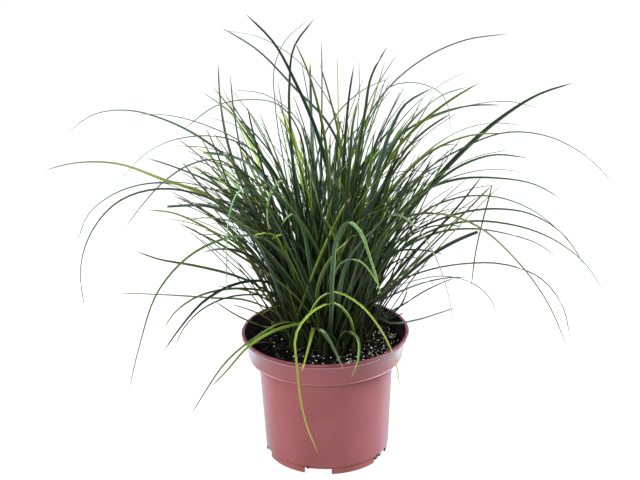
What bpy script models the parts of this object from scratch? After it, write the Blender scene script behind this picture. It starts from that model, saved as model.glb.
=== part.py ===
"""A clump of ornamental sedge in a 12 cm nursery pot: the pot, its potting soil and the leafy shoots.

Metres, +Z up. The origin is on the floor, on the pot's axis. The plant was read off a photograph that
looks along +Y: each leaf seen there is a short list of pixels, placed in depth between the ends of
its own range. The leaves that the photograph hides are grown by a seeded rule.
"""
import math
import random

import bmesh
import bpy
import numpy as np
from mathutils import Matrix, Vector
from mathutils.bvhtree import BVHTree

MM = 0.001
GAP = 0.3 * MM
SEED = 12

# Pot
RIM_RADIUS = 60.0 * MM
POT_HEIGHT = 93.2 * MM
COLLAR_HEIGHT = 17.6 * MM
COLLAR_TOP_RADIUS = 57.4 * MM
COLLAR_FOOT_RADIUS = 54.8 * MM
BODY_TOP_RADIUS = 48.2 * MM
BODY_FOOT_RADIUS = 44.4 * MM
FOOT_RADIUS = 43.6 * MM
FOOT_HEIGHT = 5.0 * MM
WALL = 1.2 * MM
FLOOR_TOP = 6.0 * MM
POT_STEPS = 40

# Foot ring's notches and the drain hole at the corner of each
NOTCHES = 5
NOTCH_ANGLE = math.radians(26.0)
FRONT_NOTCH = math.radians(-99.4)
DRAIN_SIZE = (7.0 * MM, 2.2 * MM, 2.4 * MM)
DRAIN_HEIGHT = 5.0 * MM

# Soil
SOIL_EDGE = 82.8 * MM
SOIL_TOP = 85.6 * MM
SHOULDER_RADIUS = 43.5 * MM
SOIL_STEPS = POT_STEPS // 2

# Shoots
CLUMP_RADIUS = 29.0 * MM
CLUMP_CENTRE = (0.5 * MM, -0.5 * MM)
SHOOT_SPACING = 8.0 * MM
SHOOT_JITTER = 0.9 * MM
SHOOT_RADIUS = 2.0 * MM
PLANTED = 7.0 * MM
SHEATH = (5.0 * MM, 15.0 * MM)
SHEATH_CLEARANCE = 2.0 * MM
LEAVES_A_SHOOT = 4
RIDGE = 0.8 * MM
RIDGE_SHARE = 0.45
RIDGE_WIDTH = 2.0 * MM
WATER_ROOM = ((33.0 * MM, -24.0 * MM, 86.2 * MM), (49.0 * MM, 24.0 * MM, 92.8 * MM))

# Leaves: rings along a leaf, more of them where it bends and if it is long
FIRST_RING = 9.0 * MM
NEAREST_RING = 1.8 * MM
LAST_RING = 0.9
LAST_BLUNT_RING = 0.97
AIM = 1.5 * MM
FEWEST_SPANS = 4
BEND_LENGTH = 48.0 * MM
SHARPEST_BEND = 0.12
SPAN_LIMITS = (135.0 * MM, 235.0 * MM, 310.0 * MM)
SIDEWAYS = 0.2
TWIST = math.radians(50.0)
FRONT_TWIST = math.radians(20.0)
WIDEST_AT = 0.3
WIDTH_AT_ROOT = 0.62
WIDTH_AT_TIP = 0.3
WIDTH_AT_BLUNT_TIP = 0.75

# How much of its sheath's top a leaf takes up, and how far round a leaf's base reaches
FREE_WEDGE = math.radians(22.0)
WIDEST_WEDGE = math.radians(60.0)
WEDGE_SHARE = 0.85
WIDEST_SECTOR = math.radians(115.0)
BASE_SPREAD = 1.1
CORNER_GROWTH = 1.5
JUST_BEHIND = 0.001 * MM
TURN_ERROR = 0.1

# How a seen leaf leaves its sheath, how its depth grows, and where it stands in the clump
SEEN_LEAN = (12, 30)
NEAR_DEPTH = 0.45
DEPTH_CURVE = 0.8
OUTER_STAND = 0.6
FAR_TIP = 140.0 * MM

# The photograph's camera: its distance and elevation at the rim's centre
IMAGE_CENTRE = (320.0, 240.0)
RIM_PIXEL = (325.2, 329.8)
FOCAL_PIXELS = 1748.0
EYE_DISTANCE = 1.25
EYE_ELEVATION = math.radians(24.56)
EYE_ROLL = math.radians(-1.08)

# Depth ranges of a seen leaf's tip, in millimetres along +Y
FRONT = (-100, -30)
MIDDLE = (-60, 60)
BACK = (20, 125)

# Seen leaves: name, width in millimetres, depth of the tip, and pixels from the root side to the tip
LEFT_LEAVES = (
    ("far left sweep", 2.4, (38, 60), ((205, 195), (164, 180), (118, 164), (93, 162), (42, 171))),
    ("high left arc", 2.0, BACK, ((229, 159), (184, 129), (135, 111), (90, 116), (68, 132))),
    ("second left arc", 1.9, MIDDLE, ((248, 147), (205, 125), (156, 114), (126, 115))),
    ("left hook", 1.9, BACK, ((248, 147), (200, 136), (156, 147), (118, 185), (111, 197))),
    ("low left hook", 1.9, BACK, ((200, 191), (158, 183), (116, 193), (84, 221), (78, 239))),
    ("long left droop", 2.0, MIDDLE, ((223, 205), (160, 189), (118, 202), (84, 251), (84, 306))),
    ("inner left hook", 1.9, BACK, ((215, 160), (183, 168), (145, 202), (124, 229))),
    ("plain left", 2.2, MIDDLE, ((229, 193), (189, 173), (147, 158))),
    ("short left", 2.0, FRONT, ((240, 225), (216, 202), (192, 175), (182, 161))),
    ("bright left", 2.4, FRONT, ((227, 242), (185, 218), (164, 211), (147, 210))),
    ("middle left", 2.2, FRONT, ((221, 245), (200, 234), (179, 223))),
    ("hanging left", 2.6, (-165, -155), ((240, 236), (213, 243), (168, 276), (143, 335), (129, 390))),
    ("low straight left", 2.3, FRONT, ((253, 283), (210, 269), (151, 257), (135, 251))),
    ("lowest straight left", 2.2, MIDDLE, ((248, 301), (210, 298), (168, 295), (120, 293))),
    ("low on the left rim", 2.2, (-30, -5), ((290, 332), (277, 330), (248, 321), (231, 312), (216, 302))),
    ("low behind the left rim", 2.0, (-5, 20), ((271, 303), (262, 297), (248, 291), (231, 288), (218, 286))),
    ("dark low left", 1.9, (-15, 15), ((280, 329), (274, 324), (263, 316), (250, 310), (233, 305))),
    ("dry low left", 1.8, (-20, 0), ((278, 306), (271, 309), (260, 315))),
    ("curled low left", 2.3, MIDDLE, ((221, 290), (202, 295), (183, 305), (163, 330))),
    ("thick low left", 3.0, FRONT, ((259, 281), (221, 290), (183, 325), (164, 351))),
    ("faint low left", 1.7, MIDDLE, ((235, 296), (213, 303), (194, 316), (175, 346))),
    ("over the rim left", 2.7, (-52, -46), ((290, 322), (252, 340), (231, 357), (208, 388), (192, 413))),
    ("broad over the rim", 3.2, (-90, -62), ((295, 325), (274, 331), (253, 343), (223, 375), (212, 386))),
    ("fallen left", 1.7, (-178, -170), ((238, 193), (231, 208), (227, 251), (227, 294))),
    ("crown arc", 1.9, MIDDLE, ((263, 100), (236, 101), (205, 111), (185, 128))),
    ("small crown arc", 1.7, MIDDLE, ((285, 107), (272, 98), (258, 92), (234, 90))),
    ("slanted left", 2.2, MIDDLE, ((279, 167), (252, 131), (220, 104), (204, 93))),
    ("steep left", 1.9, BACK, ((262, 132), (241, 102), (230, 88))),
    ("steepest left", 1.9, MIDDLE, ((235, 167), (228, 145), (220, 99), (218, 63))),
    ("dark inner left", 2.6, FRONT, ((277, 178), (253, 144), (241, 127))),
    ("fine inner left", 1.9, MIDDLE, ((230, 188), (221, 163), (205, 126))),
    ("second fine left", 1.9, BACK, ((226, 180), (207, 149), (198, 131))),
)
TOP_LEAVES = (
    ("thick dark top", 2.8, (-12, 4), ((320, 143), (307, 111), (278, 50), (261, 27), (247, 15))),
    ("long top arc", 2.0, MIDDLE, ((328, 124), (299, 93), (261, 53), (224, 29))),
    ("faint top arc", 1.6, BACK, ((324, 93), (284, 50), (242, 32), (221, 30))),
    ("upright top", 2.2, (-10, 10), ((290, 126), (289, 95), (290, 67), (303, 29), (314, 19))),
    ("second upright top", 1.8, BACK, ((284, 164), (275, 101), (278, 53), (308, 20))),
    ("leaning top", 1.8, MIDDLE, ((326, 147), (317, 102), (303, 59), (294, 40))),
    ("centre top", 2.1, MIDDLE, ((341, 145), (332, 105), (320, 64))),
    ("right of centre top", 2.1, MIDDLE, ((346, 132), (348, 107), (354, 65))),
    ("strong right top", 2.5, MIDDLE, ((361, 138), (368, 99), (378, 59), (386, 48))),
    ("kinked top", 1.6, BACK, ((362, 120), (384, 74), (398, 53))),
    ("brown tipped", 2.1, FRONT, ((350, 160), (352, 129), (358, 102))),
    ("short top", 1.8, FRONT, ((370, 170), (372, 150), (375, 130))),
    ("dark arch", 2.0, BACK, ((327, 130), (352, 98), (390, 78))),
)
RIGHT_LEAVES = (
    ("high right arc", 2.2, MIDDLE, ((372, 111), (398, 78), (436, 52), (483, 36), (506, 34))),
    ("right diagonal", 2.3, MIDDLE, ((386, 165), (415, 129), (457, 96), (479, 83))),
    ("long thick right", 3.0, MIDDLE, ((424, 194), (457, 157), (493, 124), (552, 89), (573, 83))),
    ("far right arc", 2.0, (-8, 8), ((440, 160), (482, 141), (520, 131), (562, 143), (594, 162), (613, 182))),
    ("faint right arc", 1.7, BACK, ((405, 132), (453, 111), (495, 101), (538, 108))),
    ("flat right", 2.0, FRONT, ((453, 171), (493, 155), (528, 158))),
    ("second flat right", 2.0, MIDDLE, ((436, 185), (489, 178), (541, 187), (560, 198))),
    ("low far right", 2.2, (0, 22), ((463, 222), (517, 226), (575, 254), (604, 292))),
    ("right droop", 2.0, MIDDLE, ((469, 212), (528, 213), (571, 243), (585, 267))),
    ("second right droop", 1.9, BACK, ((452, 199), (506, 199), (560, 232), (580, 256))),
    ("short right droop", 1.9, BACK, ((440, 232), (489, 231), (538, 244), (556, 256))),
    ("green right droop", 2.6, (-130, -110), ((430, 213), (473, 224), (517, 261), (556, 319), (566, 344))),
    ("faint right droop", 1.9, MIDDLE, ((408, 277), (434, 270), (495, 263), (543, 280), (570, 336))),
    ("slender right", 2.2, FRONT, ((413, 254), (441, 226), (482, 176))),
    ("front right droop", 2.4, (-188, -187), ((404, 217), (432, 250), (450, 302), (454, 326))),
    ("low flat right", 2.2, MIDDLE, ((398, 293), (430, 281), (468, 277))),
    ("low faint right", 1.7, BACK, ((408, 283), (439, 276), (486, 293), (497, 315))),
    ("upper faint right", 1.7, BACK, ((409, 111), (445, 82), (465, 72))),
    ("upper right", 1.9, MIDDLE, ((411, 122), (447, 93), (467, 87))),
    ("third flat right", 1.9, MIDDLE, ((424, 120), (478, 105), (501, 105))),
    ("front flat right", 2.2, FRONT, ((421, 160), (457, 139), (504, 133))),
    ("fourth flat right", 1.9, BACK, ((436, 145), (478, 125), (525, 126))),
    ("fifth flat right", 1.9, FRONT, ((440, 183), (483, 170), (525, 172))),
    ("right loop", 1.9, FRONT, ((372, 118), (390, 87), (428, 86), (454, 114), (451, 130))),
    ("blue green right", 2.6, FRONT, ((378, 172), (386, 145), (407, 103), (432, 88))),
    ("steep right", 2.6, FRONT, ((388, 178), (415, 140), (450, 114))),
    ("lowest right", 2.3, (-25, 15), ((378, 318), (389, 323), (407, 322), (436, 314), (455, 308))),
    ("second low right", 2.0, (-15, 20), ((390, 312), (409, 301), (425, 291), (455, 278))),
    ("small low right", 2.4, (-10, 15), ((388, 316), (396, 311), (407, 289))),
    ("stub on the right rim", 2.6, (0, 22), ((389, 318), (404, 313))),
)
FRONT_LEAVES = (
    ("over the front rim", 2.6, (-122, -112), ((349, 320), (343, 308), (332, 303), (318, 308), (303, 321),
                                               (296, 334), (297, 367), (305, 420), (318, 453))),
    ("over the right rim", 2.2, (-92, -80), ((308, 319), (323, 296), (334, 292), (347, 296), (373, 319),
                                             (393, 354), (400, 389))),
    ("tall front arch", 3.8, (-162, -148), ((333, 300), (334, 258), (341, 232), (350, 222), (361, 235),
                                            (373, 267), (381, 295))),
    ("small front arch", 2.4, (-100, -84), ((334, 283), (340, 265), (352, 259), (366, 265), (376, 282),
                                            (381, 291))),
    ("yellow on the rim", 2.6, (-70, -66), ((313, 330), (309, 345), (302, 371))),
    ("blunt on the rim", 3.4, (-69, -65), ((318, 330), (323, 332), (332, 347), (344, 369))),
    ("curved on the rim", 2.5, (-71, -67), ((352, 333), (357, 337), (359, 348), (351, 378))),
    ("straight front", 2.3, (-70, -40), ((317, 291), (326, 266), (349, 240))),
    ("bluish front", 2.5, (-70, -40), ((339, 300), (347, 264), (377, 227))),
    ("front hook", 2.5, (-60, -35), ((306, 245), (299, 221), (290, 214), (281, 226))),
    ("yellow front hook", 2.3, (-60, -35), ((288, 262), (285, 245), (279, 233), (272, 239))),
    ("yellow sliver", 2.0, FRONT, ((284, 252), (267, 233), (252, 236))),
    ("fallen front", 2.3, (-60, -35), ((294, 205), (287, 187), (280, 181), (274, 188), (269, 231))),
)
# Leaves with a square end: the same columns
BLUNT_LEAVES = (
    ("blunt left", 3.0, FRONT, ((236, 222), (206, 206), (185, 206), (167, 207))),
    ("blunt upper left", 2.7, MIDDLE, ((252, 167), (238, 159), (221, 155), (203, 153))),
    ("thick blunt right", 3.5, FRONT, ((387, 293), (408, 274), (452, 243), (478, 232))),
    ("blunt on the soil", 3.4, (-18, -8), ((360, 296), (374, 306), (387, 318))),
)
# Where the front leaves and the lowest ones leave the soil, in millimetres
STANDS = {
    "low on the left rim": (-24, -8),
    "low behind the left rim": (-25, 8),
    "dark low left": (-24, 0),
    "dry low left": (-22, -4),
    "thick low left": (-20, -12),
    "over the rim left": (-16, -18),
    "broad over the rim": (-12, -20),
    "lowest right": (25, -6),
    "second low right": (24, 10),
    "small low right": (22, 2),
    "stub on the right rim": (25, 6),
    "blunt on the soil": (20, -12),
    "over the front rim": (20, -17),
    "over the right rim": (-13, -16),
    "tall front arch": (3, -20),
    "small front arch": (7, -18),
    "yellow on the rim": (-8, -20),
    "blunt on the rim": (-4, -20),
    "curved on the rim": (17, -18),
    "straight front": (-5, -19),
    "bluish front": (9, -17),
}
# Leaves folded at a kink: name, width, depth, pixels to the kink, pixels from there to the tip
FOLDED_LEAVES = (
    ("folded right", 2.1, (-62, -40), ((405, 272), (441, 237), (492, 185)), ((478, 232), (471, 288))),
)

# Leaves that give the clump its reach to the back and front: width, azimuth, lean at the root, lean at
# the tip (degrees), length in millimetres
REACHING_LEAVES = (
    (2.4, 84, 22, 118, 219),
    (2.2, 99, 18, 112, 226),
    (2.3, 70, 26, 128, 226),
    (2.3, 112, 26, 98, 212),
    (2.1, 56, 24, 110, 200),
    (2.2, 126, 28, 104, 196),
    (2.1, 92, 12, 78, 218),
    (1.9, -97, 32, 66, 228),
    (1.9, -63, 28, 78, 205),
    (1.9, -121, 28, 80, 200),
)
REACHING_TWIST = 0.3
# Rule for the leaves that fill the clump: each range is drawn from evenly
FILL_WIDTH = (1.8, 2.7)
FILL_UPRIGHT = 0.5
FILL_BLUNT = 0.04
UPRIGHT_RULE = {"root": (2, 22), "tip": (18, 58), "length": (110, 195)}
ARCHING_RULE = {"root": (8, 36), "tip": (60, 112), "length": (120, 230)}
FILL_TURN = 1.1
FILL_DRIFT = 0.6
LEAN_CURVE = 1.35
TRIES = 120
SEEN_TRIES = 360
REACHING_TRIES = 240
TRIES_A_SHOOT = 6

# The mound that the filling leaves stay in, reach and height over the soil, and its flaring skirt
MOUND_REACH = 160.0 * MM
MOUND_HEIGHT = 172.0 * MM
SKIRT_RADIUS = 36.0 * MM
SKIRT_FLARE = 1.0
FRONT_FLARE = 0.6
HIDING_PIXELS = 4.0

GREENS = ((0.055, 0.12, 0.05), (0.07, 0.15, 0.045), (0.045, 0.10, 0.06), (0.10, 0.19, 0.05))


def clear_scene():
    for old in list(bpy.data.objects):
        bpy.data.objects.remove(old, do_unlink=True)


def make_collections():
    collections = []
    for name in ("potted_grass_clump", "cutters"):
        collection = bpy.data.collections.new(name)
        bpy.context.scene.collection.children.link(collection)
        collections.append(collection)
    return collections


def make_material(name, colour, roughness):
    material = bpy.data.materials.new(name)
    material.use_nodes = True
    shader = material.node_tree.nodes["Principled BSDF"]
    shader.inputs["Base Color"].default_value = (*colour, 1.0)
    shader.inputs["Roughness"].default_value = roughness
    shader.inputs["Metallic"].default_value = 0.0
    return material


def add_object(name, mesh, collection, material=None):
    obj = bpy.data.objects.new(name, mesh)
    collection.objects.link(obj)
    if material:
        mesh.materials.append(material)
    return obj


def turned(name, profile, steps, collection, material):
    """A solid turned about +Z from (radius, height) points that start and end on the axis."""
    mesh = bpy.data.meshes.new(name)
    edges = [(i, i + 1) for i in range(len(profile) - 1)]
    mesh.from_pydata([(radius, 0.0, height) for radius, height in profile], edges, [])
    obj = add_object(name, mesh, collection, material)
    screw = obj.modifiers.new("Turn", "SCREW")
    screw.axis = "Z"
    screw.steps = steps
    screw.render_steps = steps
    screw.use_merge_vertices = True
    screw.merge_threshold = 0.00001
    screw.use_smooth_shade = False
    return obj


def cut(obj, cutter):
    boolean = obj.modifiers.new("Cut " + cutter.name, "BOOLEAN")
    boolean.operation = "DIFFERENCE"
    boolean.object = cutter
    cutter.hide_render = True
    cutter.display_type = "WIRE"


def wall_radius(height):
    """The pot body's outer radius at a height between its foot and its collar."""
    share = (height - FOOT_HEIGHT) / (POT_HEIGHT - COLLAR_HEIGHT - FOOT_HEIGHT)
    return BODY_FOOT_RADIUS + (BODY_TOP_RADIUS - BODY_FOOT_RADIUS) * share


def pot_profile():
    """From the floor's middle up the inside, over the rolled rim, down the outside and under."""
    collar_foot = POT_HEIGHT - COLLAR_HEIGHT
    lip_under = POT_HEIGHT - 3.4 * MM
    return [
        (0.0, FLOOR_TOP),
        (wall_radius(FLOOR_TOP) - WALL, FLOOR_TOP),
        (BODY_TOP_RADIUS - WALL, collar_foot + WALL),
        (COLLAR_FOOT_RADIUS - WALL, collar_foot + 1.6 * WALL),
        (COLLAR_TOP_RADIUS - WALL, POT_HEIGHT - 2.0 * MM),
        (RIM_RADIUS - 2.4 * MM, POT_HEIGHT),
        (RIM_RADIUS - 0.8 * MM, POT_HEIGHT),
        (RIM_RADIUS, POT_HEIGHT - 1.2 * MM),
        (RIM_RADIUS - 0.6 * MM, lip_under + 0.6 * MM),
        (COLLAR_TOP_RADIUS, lip_under),
        (COLLAR_FOOT_RADIUS, collar_foot + 0.4 * MM),
        (COLLAR_FOOT_RADIUS - 0.6 * MM, collar_foot),
        (BODY_TOP_RADIUS, collar_foot + 0.3 * MM),
        (BODY_FOOT_RADIUS, FOOT_HEIGHT + 1.0 * MM),
        (FOOT_RADIUS, FOOT_HEIGHT),
        (FOOT_RADIUS, 0.0),
        (FOOT_RADIUS - 1.6 * MM, 0.0),
        (FOOT_RADIUS - 1.6 * MM, FLOOR_TOP - 1.4 * MM),
        (0.0, FLOOR_TOP - 1.4 * MM),
    ]


def add_box(mesh, size, centre, angle):
    """Adds a box to a bmesh, turned about +Z by an angle round the pot's axis."""
    made = bmesh.ops.create_cube(mesh, size=1.0)["verts"]
    bmesh.ops.scale(mesh, vec=size, verts=made)
    bmesh.ops.translate(mesh, vec=centre, verts=made)
    bmesh.ops.rotate(mesh, cent=(0, 0, 0), matrix=Matrix.Rotation(angle, 3, "Z"), verts=made)


def make_pot(parts, cutters):
    plastic = make_material("terracotta plastic", (0.42, 0.13, 0.12), 0.45)
    pot = turned("pot", pot_profile(), POT_STEPS, parts, plastic)
    notch_width = 2.0 * FOOT_RADIUS * math.sin(NOTCH_ANGLE / 2.0)
    notch = bmesh.new()
    drain = bmesh.new()
    for number in range(NOTCHES):
        angle = FRONT_NOTCH + number * math.tau / NOTCHES
        add_box(notch, (6.0 * MM, notch_width, 8.0 * MM), (FOOT_RADIUS - 0.6 * MM, 0.0, 0.4 * MM), angle)
        corner = angle - NOTCH_ANGLE / 2.0 + 2.2 * MM / FOOT_RADIUS
        add_box(drain, DRAIN_SIZE, (FOOT_RADIUS - 1.6 * MM, 0.0, DRAIN_HEIGHT), corner)
    for name, cutter in (("notch_cutter", notch), ("drain_cutter", drain)):
        mesh = bpy.data.meshes.new(name)
        cutter.to_mesh(mesh)
        cutter.free()
        cut(pot, add_object(name, mesh, cutters))
    return pot


def soil_height(radius):
    """The soil's height at a distance from the pot's axis."""
    if radius < SHOULDER_RADIUS:
        return SOIL_TOP
    share = (radius - SHOULDER_RADIUS) / (soil_edge_radius() - SHOULDER_RADIUS)
    return SOIL_TOP + (SOIL_EDGE - SOIL_TOP) * share


def soil_edge_radius():
    rise = (SOIL_EDGE - (POT_HEIGHT - COLLAR_HEIGHT)) / COLLAR_HEIGHT
    return COLLAR_FOOT_RADIUS + (COLLAR_TOP_RADIUS - COLLAR_FOOT_RADIUS) * rise - WALL - GAP


def make_soil(shoots, parts, cutters):
    """The root ball: it fills the pot to just under the rim, with a socket for each shoot."""
    collar_foot = POT_HEIGHT - COLLAR_HEIGHT
    profile = [
        (0.0, SOIL_TOP),
        (SHOULDER_RADIUS, SOIL_TOP),
        (soil_edge_radius(), SOIL_EDGE),
        (COLLAR_FOOT_RADIUS - WALL - GAP, collar_foot + 1.6 * WALL + GAP),
        (BODY_TOP_RADIUS - WALL - GAP, collar_foot + WALL + GAP),
        (wall_radius(FLOOR_TOP) - WALL - GAP, FLOOR_TOP + GAP),
        (0.0, FLOOR_TOP + GAP),
    ]
    peat = make_material("potting soil", (0.012, 0.010, 0.009), 0.95)
    soil = turned("soil", profile, SOIL_STEPS, parts, peat)
    sockets = bmesh.new()
    for shoot in shoots:
        depth = PLANTED + GAP
        made = bmesh.ops.create_cone(sockets, cap_ends=True, segments=4, depth=2.0 * depth,
                                     radius1=(SHOOT_RADIUS + GAP) * math.sqrt(2.0),
                                     radius2=(SHOOT_RADIUS + GAP) * math.sqrt(2.0))["verts"]
        bmesh.ops.translate(sockets, vec=(shoot.x, shoot.y, shoot.ground), verts=made)
    mesh = bpy.data.meshes.new("socket_cutter")
    sockets.to_mesh(mesh)
    sockets.free()
    cut(soil, add_object("socket_cutter", mesh, cutters))
    return soil


def view_axes():
    """The photograph's eye point and its right, up and forward directions."""
    tilt = EYE_ELEVATION - math.atan((RIM_PIXEL[1] - IMAGE_CENTRE[1]) / FOCAL_PIXELS)
    forward = Vector((0.0, math.cos(tilt), -math.sin(tilt)))
    level = Vector((1.0, 0.0, 0.0))
    rise = level.cross(forward)
    right = math.cos(EYE_ROLL) * level + math.sin(EYE_ROLL) * rise
    up = math.cos(EYE_ROLL) * rise - math.sin(EYE_ROLL) * level
    to_rim = (forward + right * (RIM_PIXEL[0] - IMAGE_CENTRE[0]) / FOCAL_PIXELS
              - up * (RIM_PIXEL[1] - IMAGE_CENTRE[1]) / FOCAL_PIXELS)
    return Vector((0.0, 0.0, POT_HEIGHT)) - EYE_DISTANCE * to_rim, right, up, forward


EYE, VIEW_RIGHT, VIEW_UP, VIEW_FORWARD = view_axes()


def pixel_point(pixel, depth):
    """The point seen at a pixel, at a depth along +Y."""
    ray = (VIEW_FORWARD + VIEW_RIGHT * (pixel[0] - IMAGE_CENTRE[0]) / FOCAL_PIXELS
           - VIEW_UP * (pixel[1] - IMAGE_CENTRE[1]) / FOCAL_PIXELS)
    return EYE + ray * ((depth - EYE.y) / ray.y)


def view_of(point):
    """Where the photograph shows a point, and how far from the eye it is."""
    ray = point - EYE
    depth = ray.dot(VIEW_FORWARD)
    return (IMAGE_CENTRE[0] + FOCAL_PIXELS * ray.dot(VIEW_RIGHT) / depth,
            IMAGE_CENTRE[1] - FOCAL_PIXELS * ray.dot(VIEW_UP) / depth, depth)


class Shoot:
    """One tiller: where it stands, how high its sheath is, and the leaves that leave its top."""

    def __init__(self, x, y, sheath):
        self.x = x
        self.y = y
        self.ground = soil_height(math.hypot(x, y))
        self.top = self.ground + sheath
        self.leaves = []

    def root(self):
        return Vector((self.x, self.y, self.top))

    def wedge(self, azimuth):
        """Half the angle to the nearest leaf that the shoot already has."""
        gaps = [abs(turn_between(azimuth, leaf.azimuth)) for leaf in self.leaves]
        return min([gap / 2.0 for gap in gaps] + [WIDEST_WEDGE])

    def corners(self):
        """Azimuths of the sheath's corners, one between each two leaves, and each sector's leaf."""
        leaves = sorted(self.leaves, key=lambda leaf: leaf.azimuth % math.tau)
        corners = []
        sectors = []
        for number, leaf in enumerate(leaves):
            following = leaves[(number + 1) % len(leaves)]
            span = (following.azimuth - leaf.azimuth) % math.tau or math.tau
            extra = max(0, math.ceil(span / WIDEST_SECTOR) - 1)
            sectors.append(leaf)
            for step in range(extra):
                corners.append(leaf.azimuth + span * (step + 1) / (extra + 2))
                sectors.append(None)
            corners.append(leaf.azimuth + span * (extra + 1) / (extra + 2))
        return corners, sectors


class Leaf:
    def __init__(self, azimuth, rings, tip):
        self.azimuth = azimuth
        self.rings = rings
        self.tip = tip


def turn_between(first, second):
    return (first - second + math.pi) % math.tau - math.pi


def smooth_path(points, start, samples=24):
    """A curve through the points that leaves the first one along the start direction."""
    gaps = [(after - before).length for before, after in zip(points, points[1:])]
    chords = [(after - before).normalized() for before, after in zip(points, points[1:])]
    courses = [start]
    for i in range(1, len(points) - 1):
        courses.append((chords[i - 1] * gaps[i] + chords[i] * gaps[i - 1]).normalized())
    courses.append((2.0 * chords[-1] - courses[-1]).normalized())
    path = [points[0]]
    for i, gap in enumerate(gaps):
        for step in range(1, samples + 1):
            t = step / samples
            path.append(points[i] * (2 * t**3 - 3 * t**2 + 1) + courses[i] * gap * (t**3 - 2 * t**2 + t)
                        + points[i + 1] * (3 * t**2 - 2 * t**3) + courses[i + 1] * gap * (t**3 - t**2))
    return path


def point_at(path, distance):
    """The point at a distance along a path."""
    for before, after in zip(path, path[1:]):
        step = (after - before).length
        if distance <= step:
            return before + (after - before) * (distance / step)
        distance -= step
    return path[-1]


def walk(path, distances):
    """Points at the given distances along a path, and its mean direction round each."""
    return [(point_at(path, distance),
             (point_at(path, distance + AIM) - point_at(path, distance - AIM)).normalized())
            for distance in distances]


def path_length(path):
    return sum((b - a).length for a, b in zip(path, path[1:]))


def ring_distances(path, first, last):
    """Distances along a path from first to last, closer together where it bends, and more if it is longer."""
    distances = [0.0]
    efforts = [0.0]
    for before, place, after in zip(path, path[1:], path[2:] + path[-1:]):
        step = (place - before).length
        bend = (place - before).angle(after - place, 0.0)
        distances.append(distances[-1] + step)
        efforts.append(efforts[-1] + step + BEND_LENGTH * min(bend, SHARPEST_BEND))
    low, high = np.interp((first, last), distances, efforts)
    spans = FEWEST_SPANS + sum(high - low > limit for limit in SPAN_LIMITS)
    return [float(d) for d in np.interp(np.linspace(low, high, spans + 1), efforts, distances)]


def width_share(share, blunt):
    """A leaf's width along its length, as a share of its widest."""
    if share < WIDEST_AT:
        return WIDTH_AT_ROOT + (1.0 - WIDTH_AT_ROOT) * share / WIDEST_AT
    beyond = (share - WIDEST_AT) / (1.0 - WIDEST_AT)
    if blunt:
        return 1.0 - (1.0 - WIDTH_AT_BLUNT_TIP) * beyond
    return 1.0 - (1.0 - WIDTH_AT_TIP) * beyond ** 3


def first_ring(shoot, place, outward, half):
    """The ring where a leaf leaves its sheath: upright, its ridge toward the sheath's axis."""
    offset = max((place - shoot.root()).dot(outward), NEAREST_RING)
    place = shoot.root() + outward * offset + Vector((0, 0, place.z - shoot.top))
    wedge = shoot.wedge(math.atan2(outward.y, outward.x))
    half = min(half, WEDGE_SHARE * offset * math.tan(wedge))
    side = Vector((-outward.y, outward.x, 0.0)) * half
    return [place + side, place - side, place - outward * RIDGE]


def leaf_rings(shoot, path, width, twist, blunt, kink_length=None):
    """Three-cornered rings along a path, two edges and a ridge, and the tip; None if it can't leave."""
    length = path_length(path)
    distances = ring_distances(path, FIRST_RING, length * (LAST_BLUNT_RING if blunt else LAST_RING))
    if kink_length:
        nearest = min(range(1, len(distances)), key=lambda i: abs(distances[i] - kink_length))
        distances[nearest] = kink_length
    shares = [distance / length for distance in distances]
    places = walk(path, distances + [length])
    toward = places[1][0] - shoot.root()
    azimuth = math.atan2(toward.y, toward.x)
    if shoot.wedge(azimuth) < FREE_WEDGE:
        return None
    outward = Vector((math.cos(azimuth), math.sin(azimuth), 0.0))
    side = Vector((-outward.y, outward.x, 0.0))
    rings = [first_ring(shoot, places[0][0], outward, width / 2.0 * width_share(shares[0], blunt))]
    for share, (place, along) in zip(shares[1:], places[1:]):
        half = width / 2.0 * width_share(share, blunt)
        across = side - along * side.dot(along)
        if across.length < SIDEWAYS:
            across = along.cross(Vector((0, 0, 1)))
        across.normalize()
        roll = twist * share
        across = across * math.cos(roll) + along.cross(across) * math.sin(roll)
        rise = RIDGE * min(1.0, RIDGE_SHARE + half / RIDGE_WIDTH)
        rings.append([place + across * half, place - across * half, place + along.cross(across) * rise])
    return Leaf(azimuth, rings, places[-1][0])


def loft(faces, ring_a, ring_b):
    for i in range(3):
        j = (i + 1) % 3
        faces.append((ring_a[i], ring_a[j], ring_b[j]))
        faces.append((ring_a[i], ring_b[j], ring_b[i]))


def leaf_tree(leaf, grow=0.0, base=None):
    """A leaf's surface, grown a little, from its first ring or from its shoot's top."""
    vertices = []
    for ring in ([base] if base else []) + leaf.rings:
        middle = (ring[0] + ring[1] + ring[2]) / 3.0
        for corner in ring:
            out = corner - middle
            vertices.append(corner + out.normalized() * grow * CORNER_GROWTH)
    faces = []
    last = len(vertices) - 3
    for start in range(0, last, 3):
        loft(faces, range(start, start + 3), range(start + 3, start + 6))
    vertices.append(leaf.tip + (leaf.tip - leaf.rings[-1][2]).normalized() * grow)
    faces += [(last + i, last + (i + 1) % 3, len(vertices) - 1) for i in range(3)]
    return BVHTree.FromPolygons(vertices, faces)


def bounds(points):
    array = np.array([tuple(point) for point in points])
    return array.min(axis=0), array.max(axis=0)


class Thicket:
    """What a new leaf has to stay clear of: the pot, the soil, the sheaths and the other leaves.

    A thing has its whole surface, for other shoots' leaves, and its outer one, for its own shoot's.
    """

    def __init__(self):
        self.things = []

    def add(self, owner, whole, outer, low, high):
        self.things.append((owner, whole, outer, low, high))

    def touches(self, owner, whole, outer, low, high):
        for other_owner, other_whole, other_outer, other_low, other_high in self.things:
            if (low > other_high).any() or (high < other_low).any():
                continue
            if other_owner is owner:
                if outer.overlap(other_outer):
                    return True
            elif whole.overlap(other_whole):
                return True
        return False


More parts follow.
